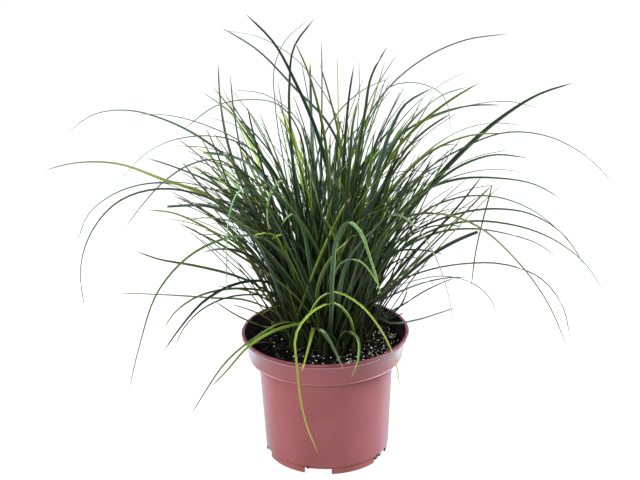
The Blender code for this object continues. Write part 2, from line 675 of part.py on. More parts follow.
def leaf_points(leaf):
    return [corner for ring in leaf.rings for corner in ring] + [leaf.tip]


def grow_leaf(thicket, shoot, leaf):
    """Gives a leaf to its shoot if it is clear of everything else."""
    if leaf is None:
        return False
    base = [shoot.root() + SHOOT_RADIUS * Vector((math.cos(a), math.sin(a), 0.0))
            for a in (leaf.azimuth + BASE_SPREAD, leaf.azimuth - BASE_SPREAD)] + [shoot.root()]
    low, high = bounds(leaf_points(leaf) + base)
    margin = 2.0 * GAP
    if thicket.touches(shoot, leaf_tree(leaf, GAP, base), leaf_tree(leaf, GAP), low - margin, high + margin):
        return False
    shoot.leaves.append(leaf)
    if not walls_apart(*shoot_shape(shoot)):
        shoot.leaves.pop()
        return False
    thicket.add(shoot, leaf_tree(leaf, 0.0, base), leaf_tree(leaf), low, high)
    return True


def object_thing(obj):
    """An object's surface with its modifiers, a little grown."""
    depsgraph = bpy.context.evaluated_depsgraph_get()
    evaluated = obj.evaluated_get(depsgraph)
    mesh = evaluated.to_mesh()
    vertices = [obj.matrix_world @ v.co for v in mesh.vertices]
    tree = BVHTree.FromPolygons(vertices, [tuple(p.vertices) for p in mesh.polygons], epsilon=GAP)
    low, high = bounds(vertices)
    evaluated.to_mesh_clear()
    return None, tree, tree, low, high


def place_shoots(rng):
    """Shoots on a jittered triangular grid inside the clump's outline."""
    shoots = []
    rows = int(CLUMP_RADIUS / (SHOOT_SPACING * math.sqrt(0.75))) + 1
    for row in range(-rows, rows + 1):
        for column in range(-rows - 1, rows + 2):
            x = (column + 0.5 * (row % 2)) * SHOOT_SPACING + rng.uniform(-1, 1) * SHOOT_JITTER
            y = row * SHOOT_SPACING * math.sqrt(0.75) + rng.uniform(-1, 1) * SHOOT_JITTER
            if math.hypot(x, y) < CLUMP_RADIUS:
                shoots.append(Shoot(x + CLUMP_CENTRE[0], y + CLUMP_CENTRE[1], rng.uniform(*SHEATH)))
    return shoots


def water_rooms():
    """The four boxes over the soil that stay free for watering."""
    low, high = WATER_ROOM
    corners = [Vector((x, y, z)) for x in (low[0], high[0]) for y in (low[1], high[1]) for z in (low[2], high[2])]
    faces = [(0, 1, 3, 2), (4, 6, 7, 5), (0, 4, 5, 1), (2, 3, 7, 6), (0, 2, 6, 4), (1, 5, 7, 3)]
    rooms = []
    for number in range(4):
        quarter = Matrix.Rotation(number * math.pi / 2.0, 3, "Z")
        vertices = [quarter @ corner for corner in corners]
        tree = BVHTree.FromPolygons(vertices, faces)
        rooms.append((None, tree, tree, *bounds(vertices)))
    return rooms


def sheath_thing(shoot):
    """A prism round a sheath, from the soil to a little above its top."""
    reach = SHOOT_RADIUS + GAP
    corners = [(shoot.x + reach * math.cos(a), shoot.y + reach * math.sin(a))
               for a in (math.tau * i / 6 for i in range(6))]
    vertices = [Vector((x, y, z)) for z in (shoot.ground, shoot.top + SHEATH_CLEARANCE) for x, y in corners]
    faces = [(i, (i + 1) % 6, 6 + (i + 1) % 6, 6 + i) for i in range(6)]
    faces.append(tuple(range(6, 12)))
    tree = BVHTree.FromPolygons(vertices, faces)
    return shoot, tree, tree, *bounds(vertices)


def seen_path(shoot, pixels, depth, lean):
    """From a shoot's top to and through the points that the photograph shows."""
    root = shoot.root()
    lengths = [0.0]
    for a, b in zip(pixels, pixels[1:]):
        lengths.append(lengths[-1] + math.dist(a, b))
    first_depth = root.y + NEAR_DEPTH * (depth - root.y)
    points = [root]
    for pixel, travelled in zip(pixels, lengths):
        share = (travelled / lengths[-1]) ** DEPTH_CURVE
        points.append(pixel_point(pixel, first_depth + (depth - first_depth) * share))
    heading = points[1] - root
    heading.z = 0.0
    heading.normalize()
    start = heading * math.sin(lean) + Vector((0, 0, math.cos(lean)))
    return smooth_path(points, start)


def likely_stand(tip, depths):
    """Where in the clump a leaf with its tip at a pixel would stand: further out, the further it reaches."""
    aim = pixel_point(tip, sum(depths) / 2.0 * MM).xy
    share = min(1.0, aim.length / FAR_TIP)
    return aim.normalized() * share * OUTER_STAND * CLUMP_RADIUS


def grow_seen_leaves(thicket, shoots, rng):
    """Finds each seen leaf a shoot and a depth at which it touches nothing.

    The leaves with a stand come first. Returns the names of those that found no room, and where the
    photograph shows the front ones.
    """
    seen = [(*leaf[:4], False, leaf[4]) for leaf in FOLDED_LEAVES]
    seen += [(*leaf, True, ()) for leaf in BLUNT_LEAVES]
    seen += [(*leaf, False, ()) for leaf in FRONT_LEAVES + TOP_LEAVES + RIGHT_LEAVES + LEFT_LEAVES]
    seen.sort(key=lambda leaf: leaf[0] not in STANDS)
    missed = []
    shown = []
    front = {leaf[0] for leaf in FRONT_LEAVES}
    for name, width, depths, pixels, blunt, beyond in seen:
        stand = Vector(STANDS[name]) * MM if name in STANDS else likely_stand(pixels[-1], depths)
        near = sorted(shoots, key=lambda s: math.hypot(s.x - stand.x, s.y - stand.y))
        most_twist = FRONT_TWIST if name in front else TWIST
        grown = False
        for attempt in range(SEEN_TRIES):
            shoot = near[min(attempt // TRIES_A_SHOOT, len(near) - 1)]
            if len(shoot.leaves) >= LEAVES_A_SHOOT:
                continue
            depth = rng.uniform(*depths) * MM
            path = seen_path(shoot, pixels, depth, math.radians(rng.uniform(*SEEN_LEAN)))
            kink = None
            if beyond:
                kink = path_length(path)
                path += [pixel_point(pixel, depth) for pixel in beyond]
            leaf = leaf_rings(shoot, path, width * MM, rng.uniform(-most_twist, most_twist), blunt, kink)
            if grow_leaf(thicket, shoot, leaf):
                grown = True
                if name in front:
                    shown += [view_of(point) for point in path[len(path) // len(pixels)::2]]
                break
        if not grown:
            missed.append(name)
    return missed, np.array(shown)


def ruled_path(shoot, azimuth, lean_root, lean_tip, length, drift):
    """A leaf that leans further and further over, in a plane that turns a little."""
    steps = 40
    place = shoot.root()
    path = [place]
    for step in range(steps):
        share = (step + 0.5) / steps
        lean = lean_root + (lean_tip - lean_root) * share ** LEAN_CURVE
        heading = azimuth + drift * share * share
        along = Vector((math.sin(lean) * math.cos(heading), math.sin(lean) * math.sin(heading), math.cos(lean)))
        place = place + along * (length / steps)
        path.append(place)
    return path


def grow_reaching_leaves(thicket, shoots, shown, rng):
    """Gives the clump its reach to the back and front."""
    for width, azimuth, lean_root, lean_tip, length in REACHING_LEAVES:
        heading = math.radians(azimuth)
        outer = OUTER_STAND * CLUMP_RADIUS
        aim = (outer * math.cos(heading), outer * math.sin(heading))
        near = sorted(shoots, key=lambda s: math.dist((s.x, s.y), aim))
        for attempt in range(REACHING_TRIES):
            shoot = near[attempt // TRIES_A_SHOOT]
            if len(shoot.leaves) >= LEAVES_A_SHOOT:
                continue
            path = ruled_path(shoot, heading + math.radians(rng.uniform(-6, 6)), math.radians(lean_root),
                              math.radians(lean_tip), length * MM, 0.0)
            leaf = leaf_rings(shoot, path, width * MM, REACHING_TWIST, False)
            if not hides(path, shown) and grow_leaf(thicket, shoot, leaf):
                break


def inside_mound(point):
    reach = math.hypot(point.x, point.y)
    rise = point.z - SOIL_TOP
    toward_eye = max(0.0, -point.y / max(reach, MM))
    flare = SKIRT_FLARE + (FRONT_FLARE - SKIRT_FLARE) * toward_eye
    return (reach / MOUND_REACH) ** 2 + (rise / MOUND_HEIGHT) ** 2 < 1.0 and reach < SKIRT_RADIUS + flare * rise


def hides(path, shown):
    """Whether a leaf passes in front of a seen front leaf in the photograph."""
    for across, up, depth in map(view_of, path[::4]):
        close = np.hypot(shown[:, 0] - across, shown[:, 1] - up) < HIDING_PIXELS
        if (close & (shown[:, 2] > depth)).any():
            return True
    return False


def grow_fill_leaves(thicket, shoots, shown, rng):
    """Fills every shoot up to its number of leaves, where there is room."""
    for turn in range(LEAVES_A_SHOOT):
        for shoot in shoots:
            if len(shoot.leaves) > turn:
                continue
            for _ in range(TRIES):
                rule = UPRIGHT_RULE if rng.random() < FILL_UPRIGHT else ARCHING_RULE
                azimuth = math.atan2(shoot.y, shoot.x) + rng.gauss(0.0, FILL_TURN)
                path = ruled_path(shoot, azimuth, math.radians(rng.uniform(*rule["root"])),
                                  math.radians(rng.uniform(*rule["tip"])), rng.uniform(*rule["length"]) * MM,
                                  rng.uniform(-FILL_DRIFT, FILL_DRIFT))
                if not all(inside_mound(point) for point in path) or hides(path, shown):
                    continue
                width = rng.uniform(*FILL_WIDTH) * MM
                leaf = leaf_rings(shoot, path, width, rng.uniform(-TWIST, TWIST), rng.random() < FILL_BLUNT)
                if grow_leaf(thicket, shoot, leaf):
                    break


def shoot_shape(shoot):
    """One closed shape: a sheath whose top is shared out into sectors, most drawn out into a leaf."""
    corners, sectors = shoot.corners()
    count = len(corners)
    vertices = []
    for z in (shoot.ground - PLANTED, shoot.top):
        vertices += [(shoot.x + SHOOT_RADIUS * math.cos(a), shoot.y + SHOOT_RADIUS * math.sin(a), z)
                     for a in corners]
    vertices.append(tuple(shoot.root()))
    centre = 2 * count
    faces = [(0, i + 1, i) for i in range(1, count - 1)]
    for i in range(count):
        j = (i + 1) % count
        faces += [(i, j, count + j), (i, count + j, count + i)]
    for number, leaf in enumerate(sectors):
        ring = [count + number, count + (number - 1) % count, centre]
        if leaf is None:
            faces.append((ring[1], ring[0], ring[2]))
            continue
        for corners_of_ring in leaf.rings:
            following = list(range(len(vertices), len(vertices) + 3))
            vertices += [tuple(corner) for corner in corners_of_ring]
            loft(faces, [ring[1], ring[0], ring[2]], [following[1], following[0], following[2]])
            ring = following
        vertices.append(tuple(leaf.tip))
        tip = len(vertices) - 1
        faces += [(ring[1], ring[0], tip), (ring[0], ring[2], tip), (ring[2], ring[1], tip)]
    return vertices, faces


def walls_apart(vertices, faces):
    """Whether no wall passes through another: seen from just behind any face, the shape is all round."""
    places = np.array([tuple(vertex) for vertex in vertices])
    triangles = places[np.array(faces)]
    normals = np.cross(triangles[:, 1] - triangles[:, 0], triangles[:, 2] - triangles[:, 0])
    normals /= np.linalg.norm(normals, axis=1)[:, None]
    behind = triangles.mean(axis=1) - JUST_BEHIND * normals
    a, b, c = (triangles[None, :, corner] - behind[:, None] for corner in range(3))
    far_a, far_b, far_c = (np.linalg.norm(side, axis=2) for side in (a, b, c))
    volume = (a * np.cross(b, c)).sum(axis=2)
    spread = (far_a * far_b * far_c + (a * b).sum(axis=2) * far_c + (b * c).sum(axis=2) * far_a
              + (c * a).sum(axis=2) * far_b)
    turns = np.arctan2(volume, spread).sum(axis=1) / math.tau
    return bool((abs(turns - 1.0) < TURN_ERROR).all())


def make_shoot(name, shoot, parts, material):
    vertices, faces = shoot_shape(shoot)
    mesh = bpy.data.meshes.new(name)
    mesh.from_pydata(vertices, [], faces)
    return add_object(name, mesh, parts, material)


def main():
    rng = random.Random(SEED)
    clear_scene()
    parts, cutters = make_collections()
    pot = make_pot(parts, cutters)
    shoots = place_shoots(rng)
    thicket = Thicket()
    for thing in (object_thing(pot), *water_rooms()):
        thicket.add(*thing)
    for shoot in shoots:
        thicket.add(*sheath_thing(shoot))
    missed, shown = grow_seen_leaves(thicket, shoots, rng)
    grow_reaching_leaves(thicket, shoots, shown, rng)
    grow_fill_leaves(thicket, shoots, shown, rng)
    make_soil(shoots, parts, cutters)
    for number, shoot in enumerate(shoots):
        colour = GREENS[number % len(GREENS)]
        name = f"shoot_{number + 1:02d}"
        make_shoot(name, shoot, parts, make_material(name + " green", colour, 0.5))
    print("shoots", len(shoots), "leaves", sum(len(shoot.leaves) for shoot in shoots), "missed", missed)


main()
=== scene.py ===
"""Looks of the potted sedge: fine leaves on the frame's shoots, loose soil, moulded pot and studio."""
import random
from math import atan, atan2, copysign, cos, hypot, radians, sin, sqrt, tau

import bmesh
import bpy
import numpy as np
from mathutils import Matrix, Vector, noise


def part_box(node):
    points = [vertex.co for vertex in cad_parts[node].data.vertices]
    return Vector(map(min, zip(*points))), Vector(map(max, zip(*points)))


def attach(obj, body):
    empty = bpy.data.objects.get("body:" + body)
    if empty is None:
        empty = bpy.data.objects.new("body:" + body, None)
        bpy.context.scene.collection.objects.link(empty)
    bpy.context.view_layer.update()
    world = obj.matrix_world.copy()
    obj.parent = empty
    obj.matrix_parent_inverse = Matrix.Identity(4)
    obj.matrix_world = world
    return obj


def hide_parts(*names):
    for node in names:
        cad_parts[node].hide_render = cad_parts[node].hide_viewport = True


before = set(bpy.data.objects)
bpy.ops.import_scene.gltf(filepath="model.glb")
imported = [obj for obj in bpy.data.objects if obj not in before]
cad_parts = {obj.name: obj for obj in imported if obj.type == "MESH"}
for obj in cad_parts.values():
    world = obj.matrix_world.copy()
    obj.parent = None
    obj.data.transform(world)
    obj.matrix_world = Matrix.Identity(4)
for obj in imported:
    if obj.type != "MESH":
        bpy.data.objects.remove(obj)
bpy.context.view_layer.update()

MM = 0.001
SEED = 7

# Pot, the same sizes as the frame's
RIM_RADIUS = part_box("pot")[1][0]
POT_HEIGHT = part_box("pot")[1][2]
COLLAR_FOOT = POT_HEIGHT - 17.6 * MM
COLLAR_TOP_RADIUS = 57.4 * MM
COLLAR_FOOT_RADIUS = 54.8 * MM
BODY_TOP_RADIUS = 48.2 * MM
BODY_FOOT_RADIUS = 44.4 * MM
FOOT_RADIUS = 43.6 * MM
FOOT_HEIGHT = 5.0 * MM
WALL = 1.2 * MM
INNER_STEP = COLLAR_FOOT + 1.6 * WALL
FLOOR_TOP = 6.0 * MM
FLOOR_UNDER = FLOOR_TOP - 1.4 * MM
FOOT_RING = 1.6 * MM
BEAD = 1.0 * MM
TURN_STEPS = 160
POT_SHARP = radians(35)
NOTCHES = 5
NOTCH_ANGLE = radians(26.0)
NOTCH_SIZE = (6.0 * MM, 2.0 * FOOT_RADIUS * sin(NOTCH_ANGLE / 2.0), 8.0 * MM)
NOTCH_CENTRE = (FOOT_RADIUS - 0.6 * MM, 0.0, 0.4 * MM)
FRONT_NOTCH = radians(-99.4)
DRAIN_SIZE = (7.0 * MM, 2.2 * MM, 2.4 * MM)
DRAIN_SHIFT = 2.2 * MM / FOOT_RADIUS
DRAIN_HEIGHT = 5.0 * MM

# The pot's colours, linear, with soil stain and painted shade on the lip, a painted shadow at the foot's
# ledge, and the painted highlight line along the collar's lower edge with its height
POT_COLOUR = (0.362, 0.100, 0.110)
LIP_STAIN_AND_SHADE = (0.150, 0.016, 0.022)
EDGE_HIGHLIGHT_COLOUR = (0.42, 0.16, 0.18)
LEDGE_SHADOW_COLOUR = (0.130, 0.022, 0.024)
FOOT_COLOUR = (0.360, 0.100, 0.090)
SCUFF_COLOUR = (0.19, 0.035, 0.035)
DUST_TINT = (0.76, 0.88, 1.0)
HIGHLIGHT_LINE_HEIGHT = 0.7 * MM

# Soil surface
SOIL_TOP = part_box("soil")[1][2]
SOIL_EDGE_DROP = 2.8 * MM
SOIL_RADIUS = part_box("soil")[1][0]
SOIL_SHOULDER = 43.5 * MM
SOIL_RINGS = 62
SOIL_STEPS = 240
SOIL_GAP = 0.3 * MM

# What makes the soil's surface rough: scale and height (mm)
LUMPS = (140.0, 1.0)
CRUMBS = (900.0, 0.35)
CELLS = (260.0, 0.9)

# Loose grains: how rough they are, how much small ones prevail, and the scale and share of their drifts
ROUGHNESS = (0.72, 1.2)
SMALL_GRAINS = 2.2
DRIFT_SCALE = 90.0
DRIFT_SHARE = 0.52
GRAIN_LIFT = 0.15
STUCK_SQUASH = 0.8
PLUG_GRAINS = 5
PLUG_GRAIN = 2.0 * MM
PLUG_DEPTH = (0.4, 1.8)
PLUG_SPREAD = 0.6

# Fibres: length and radius (mm), bend, and how high and how thick at the ends they are, in radii
FIBRE_SIDES = 5
FIBRE_STEPS = 7
FIBRE_LENGTH = (2, 9)
FIBRE_RADIUS = (0.08, 0.20)
FIBRE_BEND = 1.5
FIBRE_LIFT = 0.8
FIBRE_END = 0.35

# Where grains stick to the pot: azimuths (degrees), distances from its axis, heights and sizes (mm)
RIM_ZONE = ((-118, -50), (57.5, 59.3), (POT_HEIGHT / MM, POT_HEIGHT / MM + 0.3), (0.3, 0.8))
NOTCH_ZONE = ((-41, -28), (43.2, 44.2), (2.6, 4.7), (0.6, 1.6))
SIDE_NOTCH_ZONE = ((-182, -163), (43.3, 44.3), (2.2, 4.7), (0.6, 1.4))

# Colours of the soil stain and painted shade on the pot's inner wall and of what lies loose, linear, as
# stops on a ramp over noise
STAIN_AND_SHADE_COLOURS = ((0.35, (0.005, 0.003, 0.005)), (0.6, (0.013, 0.007, 0.010)), (0.8, (0.035, 0.012, 0.014)))
SOIL_COLOURS = ((0.32, (0.0008, 0.0007, 0.0009)), (0.55, (0.0024, 0.0020, 0.0022)),
                (0.72, (0.012, 0.008, 0.007)))
CRUMB_COLOURS = ((0.35, (0.0012, 0.0010, 0.0013)), (0.6, (0.005, 0.0035, 0.0035)),
                 (0.78, (0.026, 0.015, 0.010)))
PERLITE_COLOURS = ((0.34, (0.10, 0.09, 0.10)), (0.48, (0.42, 0.42, 0.34)), (0.6, (0.92, 0.90, 0.88)))
BARK_COLOURS = ((0.35, (0.10, 0.05, 0.03)), (0.5, (0.28, 0.24, 0.09)), (0.7, (0.50, 0.48, 0.22)))
FIBRE_COLOURS = ((0.35, (0.03, 0.024, 0.015)), (0.55, (0.12, 0.11, 0.06)), (0.72, (0.38, 0.37, 0.20)))

# The photograph's camera
IMAGE_SIZE = (640, 480)
RIM_PIXEL = (325.2, 329.8)
FOCAL_PIXELS = 1748.0
EYE_DISTANCE = 1.25
EYE_ELEVATION = radians(24.56)
EYE_ROLL = radians(-1.08)
SENSOR = 36.0

# How bright the surround and the floor are as lights and as a backdrop, and the floor's size
AMBIENT = (0.21, 1.0)
FLOOR_GLOW = (0.28, 0.93)
FLOOR_COLOUR = (0.14, 0.14, 0.14)
FLOOR_HALF = 6.0
FLOOR_LEVEL = -0.5 * MM

# Area lights: name, place, size, power and colour; all face the plant's middle
WHITE = (1.0, 1.0, 1.0)
BLACK = (0.0, 0.0, 0.0)
WARM = (1.0, 0.99, 0.97)
LIT_PLACE = (0.0, 0.0, 0.15)
LIGHTS = (
    ("key", (-0.35, -1.0, 0.62), (0.3, 0.3), 8.5, WARM),
    ("top", (0.0, 0.1, 1.3), (0.3, 0.3), 13.0, WARM),
    ("left", (-0.92, 0.2, 0.60), (0.25, 0.8), 12.5, (0.86, 0.97, 1.0)),
    ("right", (0.88, 0.15, 0.70), (0.25, 0.8), 22.0, (0.88, 0.97, 1.0)),
    ("left haze", (-0.7, 0.75, 0.25), (0.2, 0.6), 5.5, (0.8, 0.97, 1.0)),
    ("right haze", (0.7, 0.75, 0.25), (0.2, 0.6), 7.5, (0.8, 0.97, 1.0)),
)

# Leaves
STATION_SPACING = 7.0 * MM
FOLD = 0.7
THICKNESS = 0.2 * MM
WELD = 0.02 * MM
LEAF_SHARP = radians(38)
LEAST_RINGS = 5
KINK = radians(120.0)
ROLL = 0.16
ROLL_TURNS = 6.0
FLUTTER = (0.5, 1.5)
PHASES = (0.0, 6.0)
LEAST_WIDTH = 0.08 * MM
POINT_WIDTH = 0.1 * MM
BLUNT_SHARE = 0.05
BLUNT_WIDTH = 0.9
SHEATH_RADIUS = 1.9 * MM
SHEATH_TAPER = (1.0, 1.04, 0.9, 0.6)
SHEATH_SIDES = 8
SHEATH_FOOT = (-3.5, 0.5)
SHEATH_TOP = (-2.5, 0.6)
LEAF_FOOT = 1.5 * MM
LEAF_BASE_LENGTH = 72.0 * MM
PLANTED = 5.0 * MM
FOOT_DEPTH = 1.5 * MM
CLUMP_REACH = 38.0 * MM
CLUMP_RADIUS = 30.0 * MM

# The mound and the flaring skirt that the thinner leaves stay in, as in the frame
MOUND_REACH = 145.0 * MM
MOUND_HEIGHT = 206.0 * MM
SKIRT_RADIUS = 35.0 * MM
SKIRT_FLARE = 0.76
FRONT_FLARE = 0.5

# Leaf colours, linear, from the darkest to the driest
DARK = (0.013, 0.030, 0.017)
DARK_BLUE = (0.013, 0.038, 0.034)
DEEP = (0.027, 0.058, 0.027)
BLUE = (0.045, 0.100, 0.075)
SEA_GREEN = (0.13, 0.26, 0.13)
MIDDLE = (0.060, 0.112, 0.033)
OLIVE = (0.122, 0.170, 0.026)
FRESH = (0.18, 0.28, 0.045)
LIME = (0.205, 0.275, 0.034)
YELLOW_GREEN = (0.30, 0.40, 0.04)
YELLOW = (0.50, 0.46, 0.07)
STRAW = (0.40, 0.27, 0.10)
BROWN = (0.13, 0.050, 0.020)
PINK_BROWN = (0.42, 0.20, 0.15)
LEAF_BASE = (0.026, 0.032, 0.012)
EARTHY = (0.022, 0.013, 0.008)
PALE = (0.17, 0.21, 0.19)

DRAWN_COLOURS = (DARK, DEEP, BLUE, MIDDLE, OLIVE, FRESH, LIME)
COLOUR_ODDS = (0.33, 0.13, 0.14, 0.06, 0.14, 0.15, 0.05)

# Leaves that stand out in the photograph: colour, tip's colour, and each one's pixel of the tip, with how
# much wider it shows than in the frame where that is its own
NOTED_LEAVES = (
    (OLIVE, YELLOW, (42, 171)),
    (DEEP, PALE, (68, 132, 1.0), (126, 115, 0.6), (218, 31, 0.55), (185, 128, 0.65), (147, 158),
     (465, 72, 0.6), (580, 256, 0.75), (497, 315, 0.7)),
    (DARK, PALE, (78, 239, 1.05), (84, 306, 0.95), (111, 197, 0.65), (390, 78, 0.75), (570, 336),
     (585, 267, 0.85), (455, 278), (613, 182, 0.75)),
    (DEEP, OLIVE, (124, 229), (465, 87)),
    (MIDDLE, BROWN, (135, 251), (314, 19), (471, 288)),
    (MIDDLE, PALE, (204, 93, 0.75), (234, 90, 0.65), (398, 53, 0.75), (538, 108, 0.95),
     (525, 126, 0.8)),
    (DARK_BLUE, DARK_BLUE, (227, 28, 1.15), (247, 15)),
    (BLUE, PALE, (308, 20, 0.55), (525, 172, 0.6), (451, 130, 0.55)),
    (DEEP, DARK, (450, 114), (560, 198), (573, 83)),
    (DARK, BROWN, (556, 256, 1.15)),
    (SEA_GREEN, DEEP, (227, 294, 0.85)),
    (OLIVE, FRESH, (147, 210), (218, 286)),
    (OLIVE, YELLOW_GREEN, (179, 223), (216, 302)),
    (MIDDLE, OLIVE, (129, 390), (120, 293)),
    (DARK, DARK, (164, 351), (506, 34, 0.75), (478, 232), (407, 289), (404, 313)),
    (OLIVE, MIDDLE, (192, 413, 0.6)),
    (FRESH, MIDDLE, (212, 386, 0.7)),
    (MIDDLE, YELLOW, (163, 330)),
    (MIDDLE, DARK, (386, 48)),
    (MIDDLE, STRAW, (358, 102)),
    (MIDDLE, MIDDLE, (604, 292)),
    ((0.10, 0.13, 0.04), BROWN, (566, 344)),
    (DARK, MIDDLE, (482, 176), (455, 308)),
    ((0.085, 0.12, 0.06), (0.20, 0.24, 0.12), (454, 326, 0.6)),
    (BLUE, BLUE, (432, 88), (387, 318)),
    (DEEP, MIDDLE, (468, 277)),
    ((0.24, 0.40, 0.06), (0.62, 0.45, 0.10), (318, 453, 0.62)),
    (YELLOW_GREEN, (0.62, 0.52, 0.30), (400, 389, 0.64)),
    (SEA_GREEN, FRESH, (381, 289, 0.72), (381, 295, 0.85), (281, 226)),
    (YELLOW_GREEN, YELLOW, (302, 371)),
    ((0.075, 0.17, 0.085), PINK_BROWN, (344, 368)),
    ((0.17, 0.32, 0.09), PINK_BROWN, (351, 378)),
    (SEA_GREEN, BLUE, (377, 227)),
    (FRESH, SEA_GREEN, (349, 240)),
    ((0.24, 0.36, 0.05), YELLOW, (272, 239), (252, 236)),
    (SEA_GREEN, YELLOW, (269, 231)),
    (STRAW, BROWN, (260, 315)),
)
NOTE_REACH = 5.0
OWN_AGEING = 0.7
NOTED_AGEING = 0.2

# How much wider the other frame leaves show, by their tips' height in the photograph
WIDTH_RULES = ((120.0, 1.30), (200.0, 1.18), (255.0, 1.0), (480.0, 0.78))

# How much frame leaves narrow far from the pot's axis: share of the mound's reach and factor
OUTER_WIDTHS = ((0.7, 1.0), (1.3, 0.68))
ROOT_NARROWING = 0.66
REROOTED_TIP = (381, 295)
NEW_FOOT = (3.5 * MM, -22.0 * MM)
NEW_START = (0.0, -2.0, 9.0)
NEW_MIDDLE_RISE = 6.0 * MM
NEW_WIDTH = 0.8
TOWARD_EYE = 0.9

# How much a leaf's colour varies across it, one half painted lighter and the other darker, and along it;
# the painted shade of its underside and the painted highlight of its margins; and the length that dries at
# its tip
PAINTED_HALF_SHADE = 0.5
CLOUDED = 0.5
CLOUDS = 5.0
UNDERSIDE_SHADE = 0.5
UNDERSIDE_SHADE_BLEND = 0.3
MARGIN_HIGHLIGHT = 1.5
MARGIN_HIGHLIGHT_YELLOW = 0.14
DRY_LENGTH = (3.0, 16.0)
DRYING = 1.3

# Painted shade inside the clump: how bright the drawn leaves' colours are, from the mound's middle
# outwards: share of its reach and factor
CLUMP_SHADE = ((0.22, 0.48), (0.50, 1.0), (0.75, 1.05), (1.0, 0.9))

# The part of the photograph where noted leaves stand in front of the clump: left, right and top
FRONT_REGION = (250.0, 405.0, 205.0)
HIDING_PIXELS = 3.5


def camera_axes():
    """The eye point and its right, up and forward directions."""
    tilt = EYE_ELEVATION - atan((RIM_PIXEL[1] - IMAGE_SIZE[1] / 2) / FOCAL_PIXELS)
    forward = Vector((0.0, cos(tilt), -sin(tilt)))
    level = Vector((1.0, 0.0, 0.0))
    rise = level.cross(forward)
    right = cos(EYE_ROLL) * level + sin(EYE_ROLL) * rise
    up = cos(EYE_ROLL) * rise - sin(EYE_ROLL) * level
    to_rim = (forward + right * (RIM_PIXEL[0] - IMAGE_SIZE[0] / 2) / FOCAL_PIXELS
              - up * (RIM_PIXEL[1] - IMAGE_SIZE[1] / 2) / FOCAL_PIXELS)
    return Vector((0.0, 0.0, POT_HEIGHT)) - EYE_DISTANCE * to_rim, right, up, forward


EYE, RIGHT, UP, FORWARD = camera_axes()


def pixel_of(point):
    """Where a point shows in the photograph's frame."""
    ray = Vector(point) - EYE
    depth = ray.dot(FORWARD)
    return (IMAGE_SIZE[0] / 2 + FOCAL_PIXELS * ray.dot(RIGHT) / depth,
            IMAGE_SIZE[1] / 2 - FOCAL_PIXELS * ray.dot(UP) / depth)


def new_object(name, data):
    obj = bpy.data.objects.new(name, data)
    bpy.context.scene.collection.objects.link(obj)
    return obj


def register(obj, slot, *nodes):
    """Puts a piece on the root body, in place of the named CAD nodes."""
    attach(obj, "root")
    if nodes:
        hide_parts(*nodes)


def add_piece(name, mesh, material, slot, *nodes):
    mesh.materials.append(material)
    register(new_object(name, mesh), slot, *nodes)


def mesh_from(work, name):
    """A bmesh's mesh; the bmesh is freed."""
    mesh = bpy.data.meshes.new(name)
    work.to_mesh(mesh)
    work.free()
    return mesh


def new_mesh(name, vertices, faces, edges=()):
    mesh = bpy.data.meshes.new(name)
    mesh.from_pydata([tuple(vertex) for vertex in vertices], edges, faces)
    mesh.shade_smooth()
    return mesh


def polar(radius, angle, height):
    return Vector((radius * cos(angle), radius * sin(angle), height))


def read_off(table, value):
    """A value read off a table of (place, value) pairs, straight between them."""
    return float(np.interp(value, *zip(*table)))


def join_rings(faces, before, first, count):
    """The faces between two rings of a tube, or its closed start where no ring is before."""
    if before is None:
        faces.append(tuple(reversed(range(first, first + count))))
        return
    for i in range(count):
        j = (i + 1) % count
        faces.append((before + i, before + j, first + j, first + i))


def add_tube(vertices, faces, rings):
    """Adds a closed tube through rings of places."""
    before = None
    for ring in rings:
        first = len(vertices)
        vertices.extend(ring)
        join_rings(faces, before, first, len(ring))
        before = first
    faces.append(tuple(range(before, len(vertices))))


def turns(count):
    """Angles spread evenly over a full turn."""
    return [tau * step / count for step in range(count)]


def new_material(name):
    material = bpy.data.materials.new(name)
    material.use_nodes = True
    tree = material.node_tree
    return material, tree, tree.nodes["Principled BSDF"]


def feed(socket, value):
    """Links a node's input to a socket, or sets it; a plain colour gets its alpha."""
    if isinstance(value, bpy.types.NodeSocket):
        socket.id_data.links.new(value, socket)
    elif socket.type == "RGBA":
        socket.default_value = (*value, 1.0)
    else:
        socket.default_value = value


def set_inputs(node, **values):
    """Feeds a node's inputs; a name has _ here where the input's has a space."""
    for name, value in values.items():
        feed(node.inputs[name.replace("_", " ")], value)


def add_node(tree, kind, **inputs):
    node = tree.nodes.new(kind)
    set_inputs(node, **inputs)
    return node


def attribute(tree, name):
    """A mesh's colour attribute."""
    node = tree.nodes.new("ShaderNodeAttribute")
    node.attribute_name = name
    return node.outputs["Color"]


def ramp(tree, source, stops):
    """A colour ramp on a factor, from (position, colour) stops."""
    node = add_node(tree, "ShaderNodeValToRGB", Fac=source)
    elements = node.color_ramp.elements
    while len(elements) < len(stops):
        elements.new(0.5)
    for element, (position, colour) in zip(elements, stops):
        element.position = position
        element.color = (*colour, 1.0)
    return node.outputs["Color"]


def mixed(tree, factor, first, second, blend="MIX"):
    """Mixes two colours, each a socket or a plain colour, by a factor that is a socket or a number."""
    node = tree.nodes.new("ShaderNodeMix")
    node.data_type = "RGBA"
    node.blend_type = blend
    for index, value in ((0, factor), (6, first), (7, second)):
        feed(node.inputs[index], value)
    return node.outputs[2]


def noise_of(tree, coordinates, scale, detail=4.0, roughness=0.55):
    node = add_node(tree, "ShaderNodeTexNoise", Vector=coordinates, Scale=scale, Detail=detail,
                    Roughness=roughness)
    return node.outputs["Fac"]


def bump(tree, shader, height, strength, distance):
    node = add_node(tree, "ShaderNodeBump", Height=height, Strength=strength, Distance=distance)
    set_inputs(shader, Normal=node.outputs["Normal"])


def object_coordinates(tree):
    return tree.nodes.new("ShaderNodeTexCoord").outputs["Object"]


# Leaves


